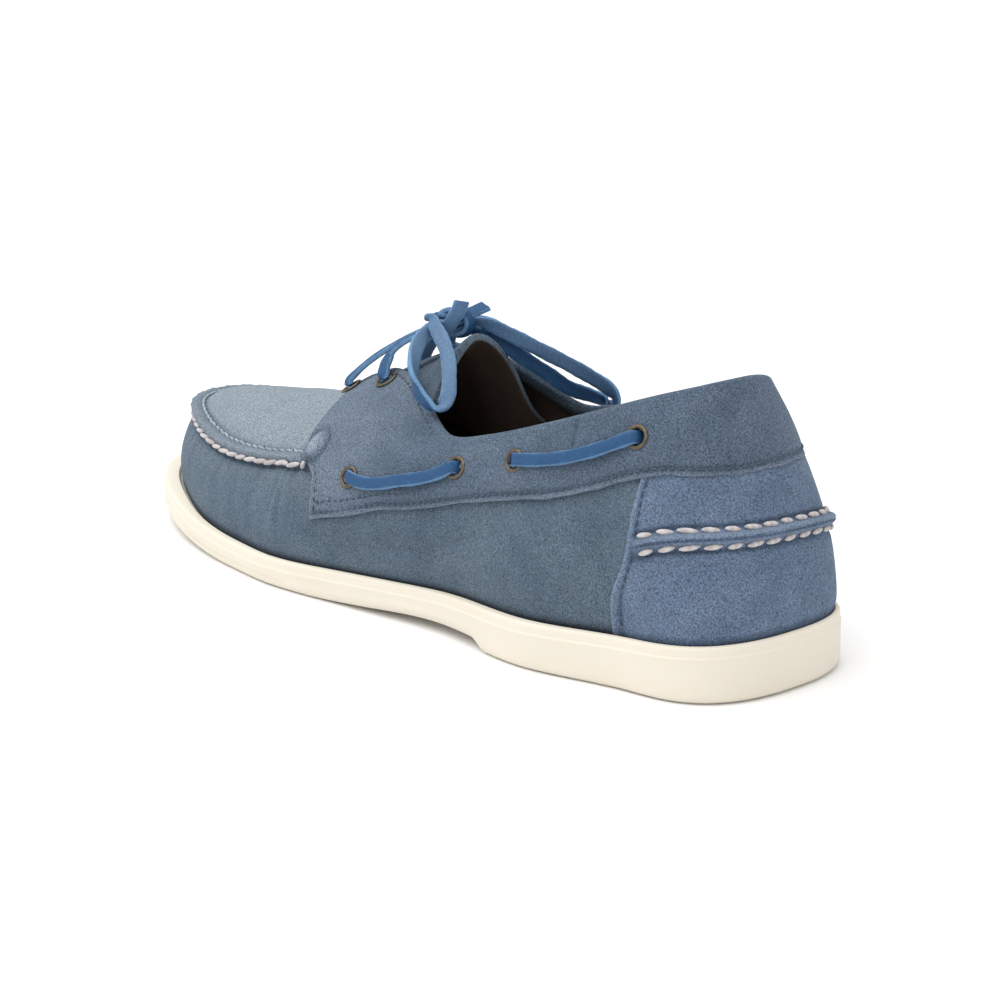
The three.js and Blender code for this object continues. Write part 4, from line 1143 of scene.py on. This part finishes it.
def lace_strip(name, points, facings, cut=0.0, width=1.0, fuzz_and_shade=1.0):
    path, along, cross, out_way, length = strip_frames(points, facings)
    n = len(path)
    section = np.array(SECTION)
    t = np.linspace(0, 1, n)
    wobble = 1 + 0.035 * np.sin(np.arange(n) * 0.41) + 0.02 * np.sin(np.arange(n) * 1.3)
    bow = 0.18 * np.sin(np.arange(n) * 0.17)[:, None] * (section[:, 0] / 2.4)[None] ** 2
    grid = (path[:, None] + cross[:, None] * (width * section[:, 0][None] * wobble[:, None])[..., None]
            + out_way[:, None] * (section[:, 1][None] + bow)[..., None])
    if cut:
        grid[-1] += along[-1] * (section[:, 0] * cut)[:, None]
    grid = np.concatenate([grid, grid[:, :1]], axis=1)
    strip_piece = sheet_on(name, grid, ring=True)
    pick(strip_piece)
    bpy.ops.object.mode_set(mode="EDIT")
    bpy.ops.mesh.select_all(action="DESELECT")
    bpy.ops.mesh.select_mode(type="EDGE")
    bpy.ops.mesh.select_non_manifold(extend=False)
    bpy.ops.mesh.edge_face_add()
    bpy.ops.mesh.select_all(action="SELECT")
    bpy.ops.mesh.normals_make_consistent(inside=False)
    bpy.ops.mesh.select_mode(type="VERT")
    bpy.ops.object.mode_set(mode="OBJECT")
    bpy.ops.object.shade_smooth_by_angle(angle=math.radians(50))
    co = corners(strip_piece)
    nearest = KDTree(n)
    for index, point in enumerate(path):
        nearest.insert(point, index)
    nearest.balance()
    index = np.array([nearest.find(c)[1] for c in co])
    local = co - path[index]
    height = (local * out_way[index]).sum(1)
    reach_out = np.abs((local * cross[index]).sum(1))
    # A value below 1 for the back's paleness darkens the back side as painted shade.
    write_attribute(strip_piece, "back", fuzz_and_shade * soft_step((-height + 0.3) / 0.6))
    write_attribute(strip_piece, "rim", 0.85 * soft_step((reach_out / width - 1.9) / 0.5))
    strip_piece.data.materials.append(blue_lace)
    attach(strip_piece, "root")
    return strip_piece, path, length


def side_run(name, first, second, side_name, column_index, dip=0.0):
    row_a, row_b = names.index(first), names.index(second)
    ua, ub = eyelet_u[row_a, column_index], eyelet_u[row_b, column_index]
    va, vb = eyelet_v[row_a, column_index], eyelet_v[row_b, column_index]
    (spot_a, normal_a), (spot_b, normal_b) = eyelets[first, side_name], eyelets[second, side_name]
    points, facings = [], []
    reach_a = (on_last(ub, vb, 2.0) - spot_a)
    reach_a /= np.linalg.norm(reach_a)
    points += [spot_a - normal_a * 4.0 - reach_a * 0.4, spot_a - normal_a * 1.6 - reach_a * 0.2,
               spot_a + normal_a * 0.9 + reach_a * 1.1]
    facings += [normal_a * 0.2 - reach_a, normal_a * 0.4 - reach_a, normal_a * 1.2 - reach_a * 0.5]
    for t in (0.10, 0.22, 0.36, 0.5, 0.64, 0.78, 0.90):
        u, v = ua + (ub - ua) * t, va + (vb - va) * t
        sag = -0.028 * math.sin(math.pi * t) - dip * math.exp(-((t - 0.28) / 0.23) ** 2)
        points.append(on_last(u, v + sag, BAND_OUT + 1.35 + 0.35 * math.sin(math.pi * t)))
        facings.append(last_normal(u, v))
    points += [spot_b + normal_b * 0.9 - reach_a * 0.9, spot_b - normal_b * 1.6 + reach_a * 0.2,
               spot_b - normal_b * 4.0 + reach_a * 0.4]
    facings += [normal_b * 1.2 + reach_a * 0.5, normal_b * 0.4 + reach_a, normal_b * 0.2 + reach_a]
    piece, path, length = lace_strip(name, points, facings, width=0.84)
    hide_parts(name.replace("lace_run", "side_lace"))
    return length


for column_index, side_name in enumerate(("outer", "inner")):
    front = side_run("lace_run_front_" + side_name, "front_side", "mid_side", side_name, column_index,
                     dip=0.034)
    rear = side_run("lace_run_rear_" + side_name, "rear_side", "heel_side", side_name, column_index)
    print(side_name, "runs", round(front, 1), "and", round(rear, 1), "mm")

# %% [markdown]
# Two runs cross over the tongue and are gathered under the knot. The bow is tied from the ends of
# the same lace: each side makes one loop and comes out of the knot again as a short cut end.

# %% The throat runs and the bow
def throat_run(name, eyelet_name, rise_points, middle):
    (spot_a, normal_a), (spot_b, normal_b) = eyelets[eyelet_name, "outer"], eyelets[eyelet_name, "inner"]
    left = [np.array([-x, y, z]) for x, y, z in rise_points]
    right_side = [np.array([x, y, z]) for x, y, z in rise_points][::-1]
    points = ([spot_a - normal_a * 4.0, spot_a - normal_a * 1.2, spot_a + normal_a * 1.5] + left
              + [np.array(middle)] + right_side
              + [spot_b + normal_b * 1.5, spot_b - normal_b * 1.2, spot_b - normal_b * 4.0])
    facings = []
    for i, point in enumerate(points):
        lean = np.clip(point[0] / 13.0, -1, 1)
        facings.append(np.array([lean * 0.35, 0.3, 0.8]))
    return lace_strip(name, points, facings, width=0.9)


rear_run, rear_path, rear_length = throat_run(
    "lace_throat_rear", "throat_rear",
    [(13.2, 18.8, 74.8), (10.8, 16.0, 79.0), (6.4, 9.8, 82.8)], (0, 5.0, 84.6))
front_run, front_path, front_length = throat_run(
    "lace_throat_front", "throat_front",
    [(14.6, 33.0, 67.6), (11.6, 27.4, 73.2), (7.0, 15.6, 80.8)], (0, 7.0, 86.2))
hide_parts("lace_crossing")
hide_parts("lace_crossing")

OUTER_LOOP = [  # point, facing
    ((2.0, 3.2, 86.4), (0.4, 0.5, 0.8)), ((-1.9, 0.6, 87.6), (0.3, 0.4, 0.9)),
    ((-6.7, 1.2, 89.2), (0.2, 0.4, 0.9)), ((-10.6, 0.9, 90.0), (0.5, 0.5, 0.6)),
    ((-12.6, -2.0, 88.8), (0.7, 0.6, 0)), ((-14.3, -7.2, 85.6), (0.8, 0.55, -0.25)),
    ((-16.4, -12.5, 81.8), (0.83, 0.55, -0.25)), ((-20.4, -18.2, 76.2), (0.85, 0.5, -0.3)),
    ((-24.2, -21.4, 69.4), (0.6, 0.6, -0.6)), ((-26.8, -20.8, 66.6), (0, 0.1, -1)),
    ((-28.6, -17.6, 67.8), (-0.86, -0.2, -0.4)), ((-29.0, -12.9, 71.8), (-0.65, 0.4, 0.3)),
    ((-27.2, -8.8, 76.8), (-0.1, 0.95, 0.1)), ((-22.4, -4.6, 81.6), (0.4, 0.85, -0.2)),
    ((-16.4, -1.6, 85.2), (0.5, 0.85, -0.2)), ((-10.5, -0.6, 86.8), (0.5, 0.8, 0)),
    ((-5.0, -0.6, 87.2), (0.3, 0.2, 0.9)), ((0.1, -0.6, 88.2), (0.1, -0.3, 0.9)),
    ((2.9, -1.9, 89.6), (0.1, -0.4, 0.9)), ((8.0, -4.3, 91.6), (0.1, -0.4, 0.9))]
INNER_LOOP = [
    ((-2.4, 2.6, 86.0), (0.5, 0.2, 0.8)), ((1.6, -0.6, 87.0), (0.6, 0.3, 0.7)),
    ((6.4, -6.1, 86.5), (0.6, 0.6, 0.2)), ((11.3, -11.7, 83.2), (0.6, 0.75, -0.1)),
    ((17.2, -18.6, 78.8), (0.6, 0.75, -0.15)), ((25.1, -24.8, 73.4), (0.6, 0.75, -0.2)),
    ((31.0, -28.6, 69.2), (0.7, 0.65, -0.1)), ((36.4, -31.2, 65.0), (0.8, 0.4, 0)),
    ((39.6, -32.0, 60.8), (0.9, -0.2, -0.1)), ((40.9, -29.8, 58.3), (0.6, 0, -0.8)),
    ((39.4, -26.8, 59.4), (-0.3, -0.5, -0.6)), ((34.4, -25.2, 61.8), (-0.6, -0.6, -0.2)),
    ((27.6, -22.4, 64.9), (-0.65, -0.7, 0.2)), ((21.6, -18.4, 70.0), (-0.65, -0.7, 0.25)),
    ((16.6, -14.0, 74.4), (-0.65, -0.7, 0.25)), ((12.0, -9.6, 78.6), (-0.6, -0.7, 0.2)),
    ((7.4, -5.2, 82.6), (-0.5, -0.6, 0)), ((2.8, -1.4, 84.8), (-0.4, -0.3, -0.7)),
    ((-1.0, 0.8, 84.8), (-0.2, 0.3, -0.9)), ((-4.8, 1.8, 83.8), (0, 0.8, -0.6)),
    ((-7.4, 0.2, 83.8), (0.6, 0.8, -0.3)), ((-7.3, -2.2, 85.8), (0.65, 0.75, -0.1)),
    ((-5.4, -3.4, 89.2), (0.65, 0.75, -0.2)), ((-3.0, -3.6, 92.2), (0.65, 0.75, -0.2)),
    ((-1.6, -3.3, 94.3), (0.6, 0.75, -0.2))]
outer_bow, outer_path, outer_length = lace_strip(
    "lace_bow_outer", [p for p, _ in OUTER_LOOP], [f for _, f in OUTER_LOOP], cut=0.25)
# The inner bow's back side keeps only 0.6 of its paleness: painted shade on the far loop.
inner_bow, inner_path, inner_length = lace_strip(
    "lace_bow_inner", [p for p, _ in INNER_LOOP], [f for _, f in INNER_LOOP], cut=-0.2, fuzz_and_shade=0.6)
WRAP = [
    ((-3.2, 3.2, 83.6), (-0.5, 0.8, -0.3)), ((-3.0, 5.4, 86.2), (-0.3, 1, 0.1)),
    ((-2.0, 4.8, 89.2), (0, 0.7, 0.8)), ((-0.8, 1.4, 90.9), (0.1, 0, 1)),
    ((0.4, -2.4, 90.2), (0.3, -0.7, 0.7)), ((0.9, -4.6, 87.4), (0.3, -1, 0)),
    ((0.6, -3.6, 84.4), (0.1, -0.8, -0.6)), ((-0.8, -0.8, 83.0), (-0.2, -0.2, -1)),
    ((-2.9, 2.8, 83.3), (-0.4, 0.7, -0.6))]
knot = lace_strip("lace_knot_wrap", [p for p, _ in WRAP], [f for _, f in WRAP])[0]
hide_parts("lace_loop_outer", "lace_end_outer")
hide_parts("lace_loop_inner", "lace_end_inner")
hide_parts("lace_knot")
print("bow strips", round(outer_length), "and", round(inner_length), "mm")

# %% [markdown]
# Thick stitches are plump: the thread is pulled tight at both ends and swells between them. One
# stitch is made from a sphere with few faces, and a copy of it is laid along each seam, tilted a
# little because the thread is twisted. The fine machine seams are made the same way, much smaller.

# %% Stitches
def stitch_shape(length, thick, segments=8, rings=6):
    deselect()
    bpy.ops.mesh.primitive_uv_sphere_add(segments=segments, ring_count=rings, radius=1.0)
    model = bpy.context.object
    co = np.empty(len(model.data.vertices) * 3)
    model.data.vertices.foreach_get("co", co)
    co = co.reshape(-1, 3)[:, [2, 0, 1]]
    faces = [list(p.vertices) for p in model.data.polygons]
    bpy.data.objects.remove(model)
    plump = np.clip(1 - np.abs(co[:, 0]) ** 3, 0, 1)[:, None] ** 0.12
    co = co * [length / 2, thick / 2, thick / 2] * np.hstack([np.ones_like(plump), plump, plump])
    return co, faces


def sew(name, shape_and_faces, spots, alongs, normals, finish, tilt=0.0):
    shape, faces = shape_and_faces
    points, all_faces = [], []
    for k, (spot, along, normal) in enumerate(zip(spots, alongs, normals)):
        along = along / np.linalg.norm(along)
        cross = np.cross(normal, along)
        cross /= np.linalg.norm(cross)
        lean = tilt * (1 + 0.25 * math.sin(k * 2.1))
        a = along * math.cos(lean) + cross * math.sin(lean)
        b = cross * math.cos(lean) - along * math.sin(lean)
        n = np.cross(a, b)
        size = 1 + 0.08 * math.sin(k * 1.7) + 0.05 * math.sin(k * 4.3)
        points.append(spot + (shape[:, :1] * a * size + shape[:, 1:2] * b + shape[:, 2:3] * n))
        all_faces += [[i + k * len(shape) for i in face] for face in faces]
    mesh = bpy.data.meshes.new(name)
    mesh.from_pydata((np.vstack(points) * MM).tolist(), [], all_faces)
    piece = bpy.data.objects.new(name, mesh)
    bpy.context.collection.objects.link(piece)
    pick(piece)
    bpy.ops.object.mode_set(mode="EDIT")
    bpy.ops.mesh.select_all(action="SELECT")
    bpy.ops.mesh.normals_make_consistent(inside=False)
    bpy.ops.object.mode_set(mode="OBJECT")
    bpy.ops.object.shade_smooth()
    piece.data.materials.append(finish)
    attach(piece, "root")
    return piece


def along_curve(u, v, out, pitch, start=0.5):
    """Even places along a curve on the last: points, directions and normals."""
    line = on_last(u, v, out)
    run = np.concatenate([[0], np.cumsum(np.linalg.norm(np.diff(line, axis=0), axis=1))])
    count = int(run[-1] / pitch)
    at = (np.arange(count) + start) * run[-1] / count
    uu, vv = np.interp(at, run, u), np.interp(at, run, v)
    spots = np.stack([np.interp(at, run, line[:, k]) for k in range(3)], -1)
    ahead = np.stack([np.interp(at + 0.4, run, line[:, k]) for k in range(3)], -1)
    behind = np.stack([np.interp(at - 0.4, run, line[:, k]) for k in range(3)], -1)
    return spots, ahead - behind, last_normal(uu, vv)


thick = stitch_shape(7.0, 1.7, 10, 8)
u = seam_u[station(seam_u) > 0.603]
v = seam_up(station(u))
outer_v = v - 2.1 / climb(u, v)
outer_lift = suede_relief(u, outer_v, bare_last(u, outer_v))
over_saddle = 1.0 * soft_step((0.616 - station(u)) / 0.006)
stitch_lift = np.maximum(outer_lift, 0.35) + 1.05 + over_saddle
spots, ways, normals = along_curve(u, outer_v, stitch_lift, STITCH_PITCH)
sew("moccasin_stitches", thick, spots, ways, normals, white_thread, tilt=0.16)
inner_v = v + 3.0 / climb(u, v)
inner_lift = suede_relief(u, inner_v, bare_last(u, inner_v))
spots, ways, normals = along_curve(u, inner_v, inner_lift + 0.30, 4.2)
sew("apron_stitches", stitch_shape(4.6, 1.05, 8, 6), spots, ways, normals, edge_thread, tilt=-0.15)
print("stitches on the moccasin seam:", int(seam_length[-1] / STITCH_PITCH))

# %% Stitches of the heel fold and the fine seams
ridge_side = np.linspace(-0.93, 0.93, 300)
for name, away in (("heel_stitches_upper", 2.4), ("heel_stitches_lower", -2.4)):
    u0, v0 = counter_at(ridge_side, smooth_read(RIDGE, 1, ridge_side))
    v0 = v0 + away / climb(u0, v0)
    spots, ways, normals = along_curve(u0, v0, np.full(u0.shape, 1.9), 6.4)
    sew(name, stitch_shape(5.7, 1.85, 10, 8), spots, ways, normals, white_thread,
        tilt=-0.12 if away > 0 else 0.12)
fine = stitch_shape(1.9, 0.65, 6, 4)
edge_u = np.linspace(-float(ring_at(0.573)), float(ring_at(0.573)), 900)
edge_low = band_low(station(edge_u))
for name, inside_edge in (("saddle_seam_lower", 2.0), ("saddle_seam_upper", 5.4)):
    if inside_edge > 3:
        keep = station(edge_u) > 0.43
    else:
        keep = station(edge_u) > -1
    for part, mask in (("outer", keep & (edge_u >= 0)), ("inner", keep & (edge_u < 0))):
        v1 = edge_low + inside_edge / climb(edge_u, edge_low)
        height = 1.6 if inside_edge < 3 else 1.95
        spots, ways, normals = along_curve(edge_u[mask], v1[mask], np.full(mask.sum(), height), 2.7)
        sew(name + "_" + part, fine, spots, ways, normals, blue_thread)
for side_sign, part in ((1, "outer"), (-1, "inner")):
    edge_v = np.linspace(0.275, 0.44, 100)
    edge_s = np.interp(edge_v, [b for a, b in SADDLE_FRONT], [a for a, b in SADDLE_FRONT]) - 0.008
    edge_u = ring_at(edge_s) * side_sign
    spots, ways, normals = along_curve(edge_u, edge_v, np.full(100, 1.85), 2.7)
    sew("saddle_front_seam_" + part, fine, spots, ways, normals, blue_thread)
    front_v = np.linspace(0.06, 0.655, 200)
    front_u = ring_at(smooth_read(COUNTER, 1, front_v)) * side_sign * 0.955
    spots, ways, normals = along_curve(front_u, front_v, np.full(200, 1.15), 2.7)
    sew("counter_seam_" + part, fine, spots, ways, normals, blue_thread)
    rear_u = np.linspace(float(ring_at(0.455)), float(ring_at(0.60)), 200)
    rear_u = rear_u if side_sign > 0 else 1 - rear_u
    rear_v = 1 - 3.4 / climb(rear_u, np.full(200, 0.95))
    spots, ways, normals = along_curve(rear_u, rear_v, np.full(200, 1.95), 2.7)
    sew("eyestay_seam_" + part, fine, spots, ways, normals, blue_thread)
print("fine seams sewn")

# %% [markdown]
# A product photograph like this one is lit by a wide bank of lamps over a white sweep. The floor is
# a plain pale plane, bright enough to turn white except where the shoe shades it. The bank is a sun
# lamp with a very wide angle, which lights the whole sweep evenly and keeps the shadow soft.

# %% Floor and light
deselect()
bpy.ops.mesh.primitive_plane_add(size=24.0, location=(0, 0, 0))
floor = bpy.context.object
floor.name = "floor"
floor_material, floor_shader = new_material("white paper sweep")
floor_shader.inputs["Base Color"].default_value = linear("#f4f4f4")
floor_shader.inputs["Roughness"].default_value = 1.0
floor_shader.inputs["Specular IOR Level"].default_value = 0.0
floor.data.materials.append(floor_material)
world = bpy.data.worlds.new("white studio")
world.use_nodes = True
world.node_tree.nodes["Background"].inputs["Color"].default_value = (1, 1, 1, 1)
world.node_tree.nodes["Background"].inputs["Strength"].default_value = 0.80
bpy.context.scene.world = world

bpy.ops.object.light_add(type="SUN", location=(-0.4, 0.8, 2.0))
overhead = bpy.context.object
overhead.name = "overhead light bank"
overhead.data.energy = 2.1
overhead.data.angle = math.radians(70)
overhead.rotation_euler = Vector((0.32, -0.20, -1.0)).to_track_quat("-Z", "Y").to_euler()
bpy.context.scene.view_settings.view_transform = "Standard"
print("lights placed")

# %% [markdown] A last update of the view layer
# The dressed shoe has to fill the same box as its solids.

bpy.context.view_layer.update()
